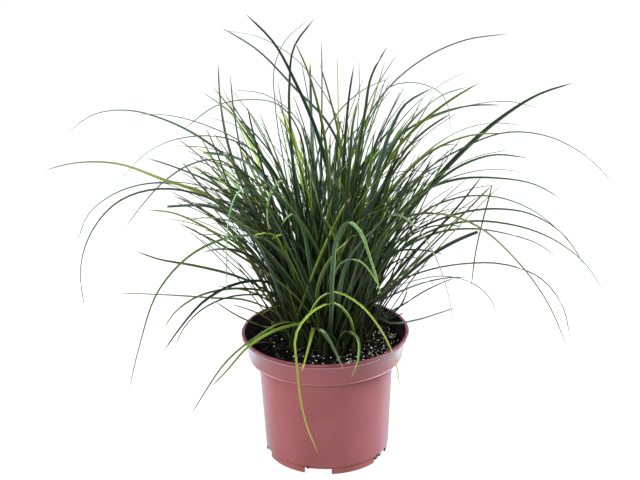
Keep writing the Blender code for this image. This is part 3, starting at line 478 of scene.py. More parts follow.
def joined_vertices(mesh):
    """A mesh's vertices with those at one place made one, and each one's neighbours."""
    work = bmesh.new()
    work.from_mesh(mesh)
    bmesh.ops.remove_doubles(work, verts=work.verts, dist=WELD)
    work.verts.ensure_lookup_table()
    places = [vertex.co.copy() for vertex in work.verts]
    neighbours = [{edge.other_vert(vertex).index for edge in vertex.link_edges} for vertex in work.verts]
    work.free()
    return places, neighbours


def blade_rings(places, neighbours):
    """Each blade of a shoot as rings of three vertices, from its tip back to the shoot's top."""
    blades = []
    for tip, around in enumerate(neighbours):
        if len(around) != 3:
            continue
        seen = {tip}
        ring = set(around)
        rings = []
        while len(ring) == 3:
            rings.append(ring)
            seen |= ring
            ring = set().union(*(neighbours[index] for index in ring)) - seen
        if len(rings) >= LEAST_RINGS:
            blades.append((tip, rings))
    return blades


class Blade:
    """A leaf's stations from its root to its tip: places, directions across and widths."""

    def __init__(self, places, across, widths, blunt):
        self.places, self.across, self.widths, self.blunt = places, across, widths, blunt

    def width_at(self, share):
        last = len(self.widths) - 2
        if share <= last or self.blunt:
            return between(self.widths, share)
        return self.widths[last] * sqrt(max(0.0, 1.0 - (share - last) ** 2))


def read_blade(places, tip, rings, foot):
    """A blade's coarse stations, read off its rings, and its foot beside the sheath."""
    stations = []
    for ring in reversed(rings[:-1]):
        corners = [places[index] for index in ring]
        a, b = max(((0, 1), (1, 2), (2, 0)), key=lambda p: (corners[p[0]] - corners[p[1]]).length)
        across = corners[a] - corners[b]
        if stations and across.dot(stations[-1][1]) < 0:
            across = -across
        stations.append(((corners[a] + corners[b]) / 2, across.normalized(), across.length))
    root_ring = [places[index] for index in rings[-1]]
    root = sum(root_ring, Vector()) / 3.0
    outward = (root - foot) * Vector((1.0, 1.0, 0.0))
    start = foot + outward.normalized() * LEAF_FOOT
    points = [start, root] + [station[0] for station in stations] + [places[tip]]
    across = [stations[0][1]] * 2 + [station[1] for station in stations] + [stations[-1][1]]
    widths = [stations[0][2]] * 2 + [station[2] for station in stations]
    length = sum((b - a).length for a, b in zip(points, points[1:]))
    blunt = (points[-1] - points[-2]).length < BLUNT_SHARE * length
    widths.append(widths[-1] * BLUNT_WIDTH if blunt else POINT_WIDTH)
    return Blade(points, across, widths, blunt)


def smooth(points, spacing):
    """A smooth curve through points, sharp only at a kink, with the share of each station."""
    gaps = [b - a for a, b in zip(points, points[1:])]
    slopes = [(gaps[0], gaps[0])]
    for before, after in zip(gaps, gaps[1:]):
        if before.angle(after) > KINK:
            slopes.append((before, after))
            continue
        course = (before.normalized() * after.length + after.normalized() * before.length).normalized()
        slopes.append((course * before.length, course * after.length))
    slopes.append((gaps[-1], gaps[-1]))
    path = [points[0].copy()]
    shares = [0.0]
    for i, gap in enumerate(gaps):
        count = max(2, round(gap.length / spacing))
        for step in range(1, count + 1):
            t = step / count
            path.append(points[i] * (2 * t**3 - 3 * t**2 + 1) + slopes[i][1] * (t**3 - 2 * t**2 + t)
                        + points[i + 1] * (3 * t**2 - 2 * t**3) + slopes[i + 1][0] * (t**3 - t**2))
            shares.append(i + t)
    return path, shares


def between(values, share):
    """A value at a fractional place in a list of numbers or vectors."""
    index = min(int(share), len(values) - 2)
    part = share - index
    return values[index] * (1.0 - part) + values[index + 1] * part


# A leaf's section: place across from -1 to 1, and whether it is above (1), below (-1) or on the margin (0)
SECTION = ((-1.0, 0), (-0.55, 1), (0.0, 1), (0.55, 1), (1.0, 0), (0.55, -1), (0.0, -1), (-0.55, -1))


class Foliage:
    """Collects the leaves of one piece as a single mesh with colours and leaf coordinates."""

    def __init__(self):
        self.vertices = []
        self.faces = []
        self.colours = []
        self.coordinates = []

    def ring(self, place, across, top, width, tones, along, half_shade):
        """One section of a leaf; tones are its colour above, with painted shade below and a painted
        highlight at the margins; one half is painted lighter and the other darker.
        """
        first = len(self.vertices)
        colour, under, margin = tones
        for u, side in SECTION:
            lift = FOLD * width / 2 * (abs(u) - 0.5)
            if side < 0:
                lift -= THICKNESS * (1.7 - abs(u))
            self.vertices.append(place + across * (u * width / 2) + top * lift)
            tint = margin if side == 0 else colour if side > 0 else under
            # One half painted lighter and the other darker, as light and shade.
            self.colours.append(shade(tint, 1.0 + half_shade * u))
            self.coordinates.append((0.5 + 0.5 * u, along))
        return first

    def close(self, first, reverse):
        face = tuple(range(first, first + len(SECTION)))
        self.faces.append(face[::-1] if reverse else face)

    def leaf(self, blade, colour, tip_colour, ageing, facing, rng):
        """A blade's leaf; its tip's colour spreads with ageing, and facing turns it further toward the eye.

        A leaf without ageing is one of the many, with painted shade inside the clump.
        """
        path, shares = smooth(blade.places, STATION_SPACING)
        lengths = [0.0]
        for a, b in zip(path, path[1:]):
            lengths.append(lengths[-1] + (b - a).length)
        total = lengths[-1]
        dry = rng.uniform(*DRY_LENGTH) * MM
        # How much lighter one half is painted than the other.
        half_shade = rng.uniform(-PAINTED_HALF_SHADE, PAINTED_HALF_SHADE)
        flutter = rng.uniform(*FLUTTER)
        phase = rng.uniform(*PHASES)
        before = None
        courses = [path[min(i + 1, len(path) - 1)] - path[max(i - 1, 0)] for i in range(len(path))]
        lift = sum(between(blade.across, share).cross(course).z for course, share in zip(courses, shares))
        for i, (place, share) in enumerate(zip(path, shares)):
            along = courses[i].normalized()
            wanted = between(blade.across, share) * copysign(1.0, lift)
            across = wanted - along * wanted.dot(along)
            broadside = along.cross(place - EYE).normalized()
            across += broadside * copysign(facing, broadside.dot(across))
            if across.length < 0.1:
                across = along.orthogonal()
            across.normalize()
            roll = ROLL * sin(flutter * ROLL_TURNS * lengths[i] / total + phase)
            top = across.cross(along)
            across = across * cos(roll) + top * sin(roll)
            top = across.cross(along).normalized()
            width = blade.width_at(share)
            part = lengths[i] / total
            tone = blend_colour(LEAF_BASE, colour, lengths[i] / LEAF_BASE_LENGTH)
            tone = shade(tone, 1.0 + CLOUDED * noise.noise(Vector((phase, part * CLOUDS, flutter))))
            if not ageing:
                # Painted shade, darker toward the clump's middle.
                tone = shade(tone, read_off(CLUMP_SHADE, mound_share(place)))
            to_tip = max(0.0, 1.0 - (total - lengths[i]) / dry)
            tone = blend_colour(tone, tip_colour, max(to_tip ** DRYING, ageing * part ** 3))
            # Painted shade on the underside and a painted highlight on the margins.
            under = blend_colour(shade(tone, UNDERSIDE_SHADE), DARK, UNDERSIDE_SHADE_BLEND)
            margin = blend_colour(shade(tone, MARGIN_HIGHLIGHT), YELLOW_GREEN, MARGIN_HIGHLIGHT_YELLOW)
            ring = self.ring(place, across, top, max(width, LEAST_WIDTH), (tone, under, margin), lengths[i],
                             half_shade)
            if before is None:
                self.close(ring, False)
            else:
                join_rings(self.faces, before, ring, len(SECTION))
            before = ring
        self.close(before, True)

    def sheath(self, places, radii, tones):
        """A closed round stem along places."""
        add_tube(self.vertices, self.faces, [
            [place + Vector((cos(angle), sin(angle), 0.0)) * radius for angle in turns(SHEATH_SIDES)]
            for place, radius in zip(places, radii)])
        for place, tone in zip(places, tones):
            self.colours += [tone] * SHEATH_SIDES
            self.coordinates += [(side / SHEATH_SIDES, place.z) for side in range(SHEATH_SIDES)]

    def mesh(self, name):
        mesh = new_mesh(name, self.vertices, self.faces)
        colours = mesh.color_attributes.new("leaf_colour", "FLOAT_COLOR", "POINT")
        colours.data.foreach_set("color", [c for colour in self.colours for c in (*colour, 1.0)])
        layer = mesh.uv_layers.new(name="leaf_map")
        corner = np.zeros(len(mesh.loops), dtype=np.int32)
        mesh.loops.foreach_get("vertex_index", corner)
        layer.uv.foreach_set("vector", np.array(self.coordinates, dtype=np.float32)[corner].ravel())
        mesh.set_sharp_from_angle(angle=LEAF_SHARP)
        mesh.update()
        return mesh


def mound_share(place):
    """How far out a place is, as a share of the mound's reach."""
    return hypot(place.xy.length / MOUND_REACH, (place.z - SOIL_TOP) / MOUND_HEIGHT)


def blend_colour(first, second, share):
    share = min(1.0, max(0.0, share))
    return tuple(a + (b - a) * share for a, b in zip(first, second))


def shade(colour, factor):
    return tuple(min(1.0, c * factor) for c in colour)


def leaf_material():
    """Satin leaf: its own colours, fine veins along it, and a greener light through it."""
    material, tree, shader = new_material("sedge leaf")
    place = tree.nodes.new("ShaderNodeUVMap")
    place.uv_map = "leaf_map"
    along = add_node(tree, "ShaderNodeMapping", Vector=place.outputs["UV"], Scale=(7.0, 40.0, 1.0))
    veins = noise_of(tree, along.outputs["Vector"], 1.0, 2.0)
    streaks = ramp(tree, veins, ((0.30, (0.66, 0.70, 0.74)), (0.70, (1.30, 1.26, 1.1))))
    tint = mixed(tree, 1.0, attribute(tree, "leaf_colour"), streaks, "MULTIPLY")
    set_inputs(shader, Base_Color=tint, Roughness=0.36, Specular_IOR_Level=0.45)
    bump(tree, shader, veins, 0.08, 0.00012)
    glow = mixed(tree, 1.0, tint, (1.5, 1.6, 0.6), "MULTIPLY")
    through = add_node(tree, "ShaderNodeBsdfTranslucent", Color=glow)
    mix = add_node(tree, "ShaderNodeMixShader", Fac=0.10)
    feed(mix.inputs[1], shader.outputs["BSDF"])
    feed(mix.inputs[2], through.outputs["BSDF"])
    set_inputs(tree.nodes["Material Output"], Surface=mix.outputs["Shader"])
    return material


def draw_colour(rng):
    return rng.choices(DRAWN_COLOURS, COLOUR_ODDS)[0]


def dry_tip(colour, rng):
    """Brown, straw or yellow for some tips, the leaf's own colour for the rest."""
    return rng.choices((BROWN, STRAW, YELLOW, colour), (0.16, 0.14, 0.10, 0.60))[0]


def tip_shows_at(blade, px, py):
    x, y = pixel_of(blade.places[-1])
    return hypot(px - x, py - y) < NOTE_REACH


def note_on(blade):
    """What is noted on a leaf: its colour, its tip's colour and its own width, if any; or None."""
    for colour, tip_colour, *tips in NOTED_LEAVES:
        for px, py, *own_width in tips:
            if tip_shows_at(blade, px, py):
                return colour, tip_colour, own_width
    return None


def resized(blade):
    """A frame blade at the width it shows, which is narrower at its root and far from the pot's axis."""
    _, y = pixel_of(blade.places[-1])
    factor = next(factor for limit, factor in WIDTH_RULES if y < limit)
    note = note_on(blade)
    if note and note[2]:
        factor = note[2][0]
    last = len(blade.widths) - 1
    for i, width in enumerate(blade.widths):
        outer = min(1.0, 2.0 * i / last)
        narrowing = read_off(OUTER_WIDTHS, blade.places[i].xy.length / MOUND_REACH)
        blade.widths[i] = width * narrowing * (ROOT_NARROWING + (factor - ROOT_NARROWING) * outer)
    return blade


def rerooted(blade):
    """The tall front arch, whose foot shows straight below it and not at its frame shoot."""
    if not tip_shows_at(blade, *REROOTED_TIP):
        return blade
    start = Vector((*NEW_FOOT, SOIL_TOP - FOOT_DEPTH))
    middle = (start + blade.places[4]) / 2 + Vector((0.0, 0.0, NEW_MIDDLE_RISE))
    blade.places = [start, start + Vector(NEW_START) * MM, middle] + blade.places[4:]
    blade.across = [blade.across[4]] * 3 + blade.across[4:]
    blade.widths = [blade.widths[4] * NEW_WIDTH] * 3 + blade.widths[4:]
    return blade


def colours_for(blade, rng):
    """A noted leaf's colour, its tip's colour and how far that spreads, or drawn ones."""
    note = note_on(blade)
    if note:
        colour, tip_colour, own_width = note
        return colour, tip_colour, OWN_AGEING if own_width else NOTED_AGEING
    drawn = draw_colour(rng)
    return drawn, dry_tip(drawn, rng), 0.0


# Thinner leaves beside those of the frame: odds, how far they bend over (degrees), length and width (mm),
# and how much of the mound they may fill
THIN_RULES = (
    (0.46, (10, 42), (110, 225), (0.9, 2.0), (0.6, 1.08)),
    (0.03, (8, 35), (195, 245), (1.4, 2.2), (0.95, 1.12)),
    (0.30, (38, 90), (125, 230), (0.8, 1.7), (0.6, 1.08)),
    (0.12, (5, 45), (45, 105), (0.9, 1.6), (0.6, 1.08)),
    (0.06, (50, 105), (190, 290), (0.5, 0.9), (1.0, 1.2)),
)
THIN_LEAVES = (10, 13)
THIN_TRIES = 12
THIN_FEET = (1.2, 3.4)
THIN_TURN = 0.7
THIN_DRIFT = 0.6
THIN_WAVE = 0.12
THIN_TWIST = 0.8
THIN_SHADES = (0.4, 1.5)
THIN_TAPER = ((0.0, 0.7), (0.3, 1.0), (0.5, 1.0), (1.0, 0.45))
OUTWARD_LEAN = 27.0
LEAN_SPREAD = 6.0
PATH_STEPS = 9
BENDING = 1.5
WAVE_TURNS = 5.0

# Dead leaves on the soil: share of the shoots with one, leans at root and tip (degrees), length, width and
# foot's distance (mm)
WITHERED_LEAVES = 0.3
WITHERED_LEANS = ((20, 55), (85, 105))
WITHERED_LENGTH = (12, 34)
WITHERED_WIDTH = (0.7, 1.5)
WITHERED_TURN = 0.6
WITHERED_FOOT = 2.0
WITHERED_DRIFT = 1.2
WITHERED_WAVE = 0.3
WITHERED_LEVEL = 1.2 * MM


def inside_mound(point, limit):
    """Whether a point is above the skirt and within the mound times a limit."""
    reach = point.xy.length
    rise = point.z - SOIL_TOP
    toward_eye = max(0.0, -point.y / max(reach, MM))
    flare = SKIRT_FLARE + (FRONT_FLARE - SKIRT_FLARE) * toward_eye
    return mound_share(point) < limit and reach < SKIRT_RADIUS + flare * rise


def hides(points, shown):
    """Whether a leaf passes in front of a noted one in the photograph."""
    for point in points:
        across, up = pixel_of(point)
        close = np.hypot(shown[:, 0] - across, shown[:, 1] - up) < HIDING_PIXELS
        if (close & (shown[:, 2] > (point - EYE).dot(FORWARD))).any():
            return True
    return False


def leaning_path(root, azimuth, lean_root, lean_tip, length, drift, wave):
    """A path that leans over further along its length and swings a little to the side."""
    points = [root]
    sides = []
    for step in range(PATH_STEPS + 1):
        share = step / PATH_STEPS
        lean = lean_root + (lean_tip - lean_root) * share ** BENDING
        heading = azimuth + drift * share * share + wave * sin(share * WAVE_TURNS)
        along = polar(sin(lean), heading, cos(lean))
        sides.append((Vector((-sin(heading), cos(heading), 0.0)), along))
        if step < PATH_STEPS:
            points.append(points[-1] + along * (length / PATH_STEPS))
    return points, sides


def thin_blade(foot, shown, rng):
    """A thinner leaf by one of the rules, or None if it finds no room."""
    _, bends, lengths, widths, limits = rng.choices(THIN_RULES, [rule[0] for rule in THIN_RULES])[0]
    for _ in range(THIN_TRIES):
        around = rng.uniform(0, tau)
        root = foot + Vector((cos(around), sin(around), 0.0)) * rng.uniform(*THIN_FEET) * MM
        outer = root.xy.length / CLUMP_RADIUS
        azimuth = atan2(root.y, root.x) + rng.gauss(0.0, THIN_TURN / max(outer, 0.3))
        lean = radians(abs(OUTWARD_LEAN * outer + rng.gauss(0.0, LEAN_SPREAD)))
        points, sides = leaning_path(root, azimuth, lean, lean + radians(rng.uniform(*bends)),
                                     rng.uniform(*lengths) * MM, rng.uniform(-THIN_DRIFT, THIN_DRIFT),
                                     rng.uniform(-THIN_WAVE, THIN_WAVE))
        limit = rng.uniform(*limits)
        if all(inside_mound(point, limit) for point in points[1:]) and not hides(points, shown):
            break
    else:
        return None
    width = rng.uniform(*widths) * MM
    twist = rng.uniform(-THIN_TWIST, THIN_TWIST)
    across = []
    spread = []
    for step, (side, along) in enumerate(sides):
        share = step / (len(sides) - 1)
        roll = twist * share
        across.append(side * cos(roll) + along.cross(side) * sin(roll))
        spread.append(width * read_off(THIN_TAPER, share))
    return Blade(points, across, spread, False)


def withered_blade(foot, rng):
    """A dead leaf that lies low over the soil."""
    azimuth = atan2(foot.y, foot.x) + rng.gauss(0.0, WITHERED_TURN)
    root = foot + Vector((cos(azimuth), sin(azimuth), 0.0)) * WITHERED_FOOT * MM
    lean_root, lean_tip = (radians(rng.uniform(*leans)) for leans in WITHERED_LEANS)
    points, sides = leaning_path(root, azimuth, lean_root, lean_tip, rng.uniform(*WITHERED_LENGTH) * MM,
                                 rng.uniform(-WITHERED_DRIFT, WITHERED_DRIFT),
                                 rng.uniform(-WITHERED_WAVE, WITHERED_WAVE))
    for point in points:
        point.z = max(point.z, SOIL_TOP + WITHERED_LEVEL)
    width = rng.uniform(*WITHERED_WIDTH) * MM
    spread = [width * (1.0 - 0.4 * i / len(sides)) for i in range(len(sides))]
    return Blade(points, [side for side, _ in sides], spread, False)


class Shoot:
    """A frame shoot read back: its foot and its leaves."""

    def __init__(self, name):
        places, neighbours = joined_vertices(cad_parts[name].data)
        planted = [p for p in places if p.z < SOIL_TOP - PLANTED and p.xy.length < CLUMP_REACH]
        self.name = name
        self.foot = sum(planted, Vector()) / len(planted)
        self.foot.z = SOIL_TOP - FOOT_DEPTH
        self.blades = [read_blade(places, tip, rings, self.foot)
                       for tip, rings in blade_rings(places, neighbours)]


def noted_places(shoots):
    """Where the photograph shows the noted front leaves, and how far from the eye they are."""
    left, right, top = FRONT_REGION
    shown = []
    for blade in (blade for shoot in shoots for blade in shoot.blades):
        x, y = pixel_of(blade.places[-1])
        if note_on(blade) and left < x < right and y > top:
            path, _ = smooth(blade.places[2:], 2.0 * MM)
            shown += [(*pixel_of(point), (point - EYE).dot(FORWARD)) for point in path]
    return np.array(shown)


def dress_shoot(shoot, shown, material, rng):
    """A shoot's sheath, its frame leaves made fine, and its thinner leaves."""
    foliage = Foliage()
    foot = shoot.foot
    for blade in shoot.blades:
        foliage.leaf(resized(rerooted(blade)), *colours_for(blade, rng), TOWARD_EYE, rng)
    for _ in range(rng.randint(*THIN_LEAVES)):
        blade = thin_blade(foot, shown, rng)
        if blade:
            colour = shade(draw_colour(rng), rng.uniform(*THIN_SHADES))
            foliage.leaf(blade, colour, dry_tip(colour, rng), 0.0, 0.0, rng)
    if rng.random() < WITHERED_LEAVES:
        foliage.leaf(withered_blade(foot, rng), rng.choice((BROWN, STRAW, EARTHY)), BROWN, 0.0, 0.0, rng)
    top = max(blade.places[1].z for blade in shoot.blades)
    heights = [level + rise * MM for level, rises in ((SOIL_TOP, SHEATH_FOOT), (top, SHEATH_TOP))
               for rise in rises]
    tones = (EARTHY, blend_colour(EARTHY, LEAF_BASE, 0.5), LEAF_BASE, shade(MIDDLE, 0.7))
    radii = [SHEATH_RADIUS * share for share in SHEATH_TAPER]
    foliage.sheath([Vector((foot.x, foot.y, z)) for z in heights], radii, tones)
    name = shoot.name + "_leaves"
    add_piece(name, foliage.mesh(name), material, "leaf", shoot.name)


def make_shoots():
    material = leaf_material()
    rng = random.Random(SEED)
    shoots = [Shoot(name) for name in sorted(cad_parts) if name.startswith("shoot_")]
    shown = noted_places(shoots)
    for shoot in shoots:
        dress_shoot(shoot, shown, material, rng)


# Pot


def wall_radius(height):
    share = (height - FOOT_HEIGHT) / (COLLAR_FOOT - FOOT_HEIGHT)
    return BODY_FOOT_RADIUS + (BODY_TOP_RADIUS - BODY_FOOT_RADIUS) * share


def pot_profile():
    """From the floor's middle up the inside, over the rolled rim, down the outside and under.

    Each row is a radius and a height, then how far outside and above them its points lie (mm).
    """
    lip = POT_HEIGHT - 3.4 * MM
    # Top of the small flange that carries the painted highlight line.
    highlight_line = COLLAR_FOOT + HIGHLIGHT_LINE_HEIGHT
    inside = (
        (0.0, FLOOR_TOP),
        (wall_radius(FLOOR_TOP) - WALL, FLOOR_TOP, (-0.8, 0.0), (0.0, 0.8)),
        (BODY_TOP_RADIUS - WALL, COLLAR_FOOT + WALL, (0.0, -0.5), (0.5, 0.0)),
        (COLLAR_FOOT_RADIUS - WALL, INNER_STEP, (-0.5, -0.1), (0.0, 0.5)),
        (COLLAR_TOP_RADIUS - WALL, POT_HEIGHT, (0.0, -2.0)),
        (COLLAR_TOP_RADIUS, POT_HEIGHT, (-0.3, -0.6)),
        (RIM_RADIUS, POT_HEIGHT, (-2.4, -0.05)),
    )
    bead = [(RIM_RADIUS - BEAD + BEAD * cos(angle), POT_HEIGHT - BEAD + BEAD * sin(angle))
            for angle in map(radians, range(90, -61, -25))]
    outside = (
        (COLLAR_TOP_RADIUS, lip, (1.0, 0.6), (0.0, -0.4)),
        (COLLAR_FOOT_RADIUS, highlight_line, (0.05, 0.1), (0.10, 0.0), (0.40, -0.2)),
        (COLLAR_FOOT_RADIUS, COLLAR_FOOT, (0.40, 0.2), (-0.2, 0.0)),
        (BODY_TOP_RADIUS, COLLAR_FOOT, (0.5, 0.3), (0.0, -0.2)),
        (wall_radius(FOOT_HEIGHT + 9.0 * MM), FOOT_HEIGHT, (0.0, 9.0)),
        (wall_radius(FOOT_HEIGHT + 2.0 * MM), FOOT_HEIGHT, (0.0, 2.0)),
        (BODY_FOOT_RADIUS, FOOT_HEIGHT, (0.02, 0.7), (-0.05, 0.5)),
        (FOOT_RADIUS, FOOT_HEIGHT, (-0.1, 0.0), (0.0, -0.4)),
        (FOOT_RADIUS, 0.0, (0.0, 0.5), (-0.4, 0.0), (-1.2, 0.0)),
        (FOOT_RADIUS - FOOT_RING, 0.0, (0.0, 0.4)),
        (FOOT_RADIUS - FOOT_RING, FLOOR_UNDER),
        (0.0, FLOOR_UNDER),
    )
    return [(radius + out * MM, height + up * MM) for radius, height, *offsets in (*inside, *bead, *outside)
            for out, up in offsets or ((0.0, 0.0),)]


def notch_azimuth(number):
    return FRONT_NOTCH + number * tau / NOTCHES


def drain_azimuth(number):
    """Where a drain hole is: at one corner of its notch."""
    return notch_azimuth(number) - NOTCH_ANGLE / 2.0 + DRAIN_SHIFT


def add_box(mesh, size, centre, angle):
    made = bmesh.ops.create_cube(mesh, size=1.0)["verts"]
    bmesh.ops.scale(mesh, vec=size, verts=made)
    bmesh.ops.translate(mesh, vec=centre, verts=made)
    bmesh.ops.rotate(mesh, cent=(0, 0, 0), matrix=Matrix.Rotation(angle, 3, "Z"), verts=made)


def boolean_cut(obj, work, name):
    """Cuts a bmesh's closed boxes out of an object and applies the cut."""
    cutter = new_object(name, mesh_from(work, name))
    modifier = obj.modifiers.new(name, "BOOLEAN")
    modifier.operation = "DIFFERENCE"
    modifier.object = cutter
    apply_modifiers(obj)
    bpy.data.objects.remove(cutter, do_unlink=True)


def apply_modifiers(obj):
    depsgraph = bpy.context.evaluated_depsgraph_get()
    mesh = bpy.data.meshes.new_from_object(obj.evaluated_get(depsgraph))
    obj.modifiers.clear()
    old = obj.data
    obj.data = mesh
    bpy.data.meshes.remove(old)


def pot_material():
    """Dusty terracotta plastic: the zones' colours, painted shade and highlight among them, with faint
    clouds, fine grain and worn scuffs.
    """
    material, tree, shader = new_material("pot plastic")
    place = object_coordinates(tree)
    clouds = noise_of(tree, place, 22.0, 5.0, 0.6)
    tone = ramp(tree, clouds, ((0.30, (0.84, 0.80, 0.79)), (0.55, WHITE), (0.78, (1.16, 1.22, 1.26))))
    colour = mixed(tree, 1.0, attribute(tree, "zone_colour"), tone, "MULTIPLY")
    grain = noise_of(tree, place, 900.0, 3.0, 0.6)
    grain_tone = ramp(tree, grain, ((0.35, (0.94, 0.93, 0.93)), (0.7, (1.04, 1.05, 1.05))))
    colour = mixed(tree, 1.0, colour, grain_tone, "MULTIPLY")
    lean = add_node(tree, "ShaderNodeMapping", Vector=place, Scale=(420.0, 420.0, 60.0),
                    Rotation=(0.2, 0.5, 0.3))
    streaks = noise_of(tree, lean.outputs["Vector"], 1.0, 6.0, 0.7)
    scuffs = ramp(tree, streaks, ((0.66, BLACK), (0.74, WHITE)))
    patch = ramp(tree, noise_of(tree, place, 35.0, 2.0), ((0.52, BLACK), (0.62, (0.5, 0.5, 0.5))))
    mask = mixed(tree, 1.0, scuffs, patch, "MULTIPLY")
    rough = ramp(tree, clouds, ((0.3, (0.34, 0.34, 0.34)), (0.8, (0.46, 0.46, 0.46))))
    set_inputs(shader, Base_Color=mixed(tree, mask, colour, SCUFF_COLOUR), Roughness=rough,
               Specular_IOR_Level=0.55, Sheen_Weight=0.9, Sheen_Roughness=0.3, Sheen_Tint=DUST_TINT)
    bump(tree, shader, grain, 0.15, 0.0001)
    return material


def speckled_material(name, scale, detail, colours, rough, specular=0.5, noise_roughness=0.55, relief=None):
    """Loose or stained matter: colours on fine noise, and its relief (strength, distance) where given."""
    material, tree, shader = new_material(name)
    spots = noise_of(tree, object_coordinates(tree), scale, detail, noise_roughness)
    set_inputs(shader, Base_Color=ramp(tree, spots, colours), Roughness=rough, Specular_IOR_Level=specular)
    if relief:
        bump(tree, shader, spots, *relief)
    return material


def zone_colour(reach, height):
    """The plastic's colour at a distance from the axis and a height, with soil stain and painted shade on
    the lip, a painted highlight line along the collar's lower edge and a painted shadow at the foot's
    ledge.
    """
    # Soil stain and painted shade on the lip.
    if height > POT_HEIGHT - 1.3 * MM:
        return LIP_STAIN_AND_SHADE
    rise = height - COLLAR_FOOT
    # Painted highlight line along the collar's lower edge.
    if 0.1 * MM < rise < HIGHLIGHT_LINE_HEIGHT + 0.05 * MM and reach > COLLAR_FOOT_RADIUS + 0.02 * MM:
        return EDGE_HIGHLIGHT_COLOUR
    # Painted shadow where the body overhangs the foot.
    if FOOT_HEIGHT - 0.2 * MM < height < FOOT_HEIGHT + 0.6 * MM:
        return LEDGE_SHADOW_COLOUR
    if height < FOOT_HEIGHT:
        return FOOT_COLOUR
    return POT_COLOUR


def colour_zones(mesh):
    """Colours the plastic by zone, painted shade and highlight among the zones, and gives the inner faces
    the material of soil stain and painted shade.
    """
    zones = mesh.color_attributes.new("zone_colour", "FLOAT_COLOR", "POINT")
    for vertex, mark in zip(mesh.vertices, zones.data):
        mark.color = (*zone_colour(vertex.co.xy.length, vertex.co.z), 1.0)
    for face in mesh.polygons:
        centre = face.center
        outward = face.normal.xy.dot(centre.xy)
        inside = centre.xy.length < RIM_RADIUS - 2.6 * MM and centre.z > FLOOR_TOP - 0.2 * MM
        face.material_index = 1 if inside and outward <= 0.0 else 0


def make_pot():
    profile = pot_profile()
    edges = [(i, i + 1) for i in range(len(profile) - 1)]
    vertices = [(radius, 0.0, height) for radius, height in profile]
    obj = new_object("pot_shell", new_mesh("pot_shell", vertices, [], edges))
    screw = obj.modifiers.new("Turn", "SCREW")
    screw.steps = TURN_STEPS
    screw.render_steps = TURN_STEPS
    screw.use_merge_vertices = True
    screw.merge_threshold = 0.00001
    apply_modifiers(obj)
    notch = bmesh.new()
    drain = bmesh.new()
    for number in range(NOTCHES):
        add_box(notch, NOTCH_SIZE, NOTCH_CENTRE, notch_azimuth(number))
        add_box(drain, DRAIN_SIZE, (FOOT_RADIUS - FOOT_RING, 0.0, DRAIN_HEIGHT), drain_azimuth(number))
    boolean_cut(obj, notch, "notch_cutter")
    boolean_cut(obj, drain, "drain_cutter")
    obj.data.materials.clear()
    obj.data.materials.append(pot_material())
    # Near-black inner wall: soil stain and painted shade.
    stain_and_shade = speckled_material("plastic with soil stain and painted shade", 120.0, 4.0, STAIN_AND_SHADE_COLOURS, 0.95, 0.04)
    obj.data.materials.append(stain_and_shade)
    colour_zones(obj.data)
    obj.data.shade_smooth()
    obj.data.set_sharp_from_angle(angle=POT_SHARP)
    register(obj, "pot", "pot")


# Soil


def soil_lift(x, y):
    """The loose surface's height over the soil's top at a place."""
    reach = hypot(x, y)
    drop = 0.0
    if reach > SOIL_SHOULDER:
        drop = SOIL_EDGE_DROP * (reach - SOIL_SHOULDER) / (SOIL_RADIUS - SOIL_SHOULDER)
    place = Vector((x, y, 0.0))
    lumps = noise.fractal(place * LUMPS[0], 0.8, 2.0, 4)
    crumbs = noise.noise(place * CRUMBS[0])
    cells = noise.voronoi(place * CELLS[0])[0][0]
    return -drop + MM * (LUMPS[1] * lumps + CRUMBS[1] * crumbs + CELLS[1] * (0.45 - cells))


def soil_place(radius, angle):
    """A place on the loose surface, by its distance and direction from the pot's axis."""
    x, y = radius * cos(angle), radius * sin(angle)
    return Vector((x, y, SOIL_TOP + soil_lift(x, y)))


def soil_material():
    material, tree, shader = new_material("potting soil")
    place = object_coordinates(tree)
    fine = noise_of(tree, place, 1400.0, 6.0, 0.7)
    broad = noise_of(tree, place, 160.0, 3.0)
    damp = ramp(tree, broad, ((0.35, (0.65, 0.65, 0.7)), (0.7, (1.25, 1.2, 1.15))))
    colour = mixed(tree, 1.0, ramp(tree, fine, SOIL_COLOURS), damp, "MULTIPLY")
    set_inputs(shader, Base_Color=colour, Roughness=0.95, Specular_IOR_Level=0.05)
    bump(tree, shader, fine, 0.9, 0.0006)
    return material


def make_soil():
    """The root ball: a crumbly top on a turned plug that fills the pot."""
    angles = turns(SOIL_STEPS)
    vertices = [soil_place(0.0, 0.0)]
    for i in range(1, SOIL_RINGS + 1):
        radius = SOIL_RADIUS * sqrt(i / SOIL_RINGS)
        vertices += [soil_place(radius, angle) for angle in angles]
    plug = ((COLLAR_FOOT_RADIUS, INNER_STEP), (BODY_TOP_RADIUS, COLLAR_FOOT + WALL),
            (wall_radius(FLOOR_TOP), FLOOR_TOP))
    for radius, height in plug:
        vertices += [polar(radius - WALL - SOIL_GAP, angle, height + SOIL_GAP) for angle in angles]
    faces = [(0, 1 + step, 1 + (step + 1) % SOIL_STEPS) for step in range(SOIL_STEPS)]
    loops = SOIL_RINGS + len(plug)
    for loop in range(loops - 1):
        inner = 1 + loop * SOIL_STEPS
        outer = inner + SOIL_STEPS
        for step in range(SOIL_STEPS):
            following = (step + 1) % SOIL_STEPS
            faces.append((inner + step, outer + step, outer + following, inner + following))
    last = 1 + (loops - 1) * SOIL_STEPS
    faces.append(tuple(last + step for step in reversed(range(SOIL_STEPS))))
    add_piece("soil_ball", new_mesh("soil_ball", vertices, faces), soil_material(), "soil", "soil")


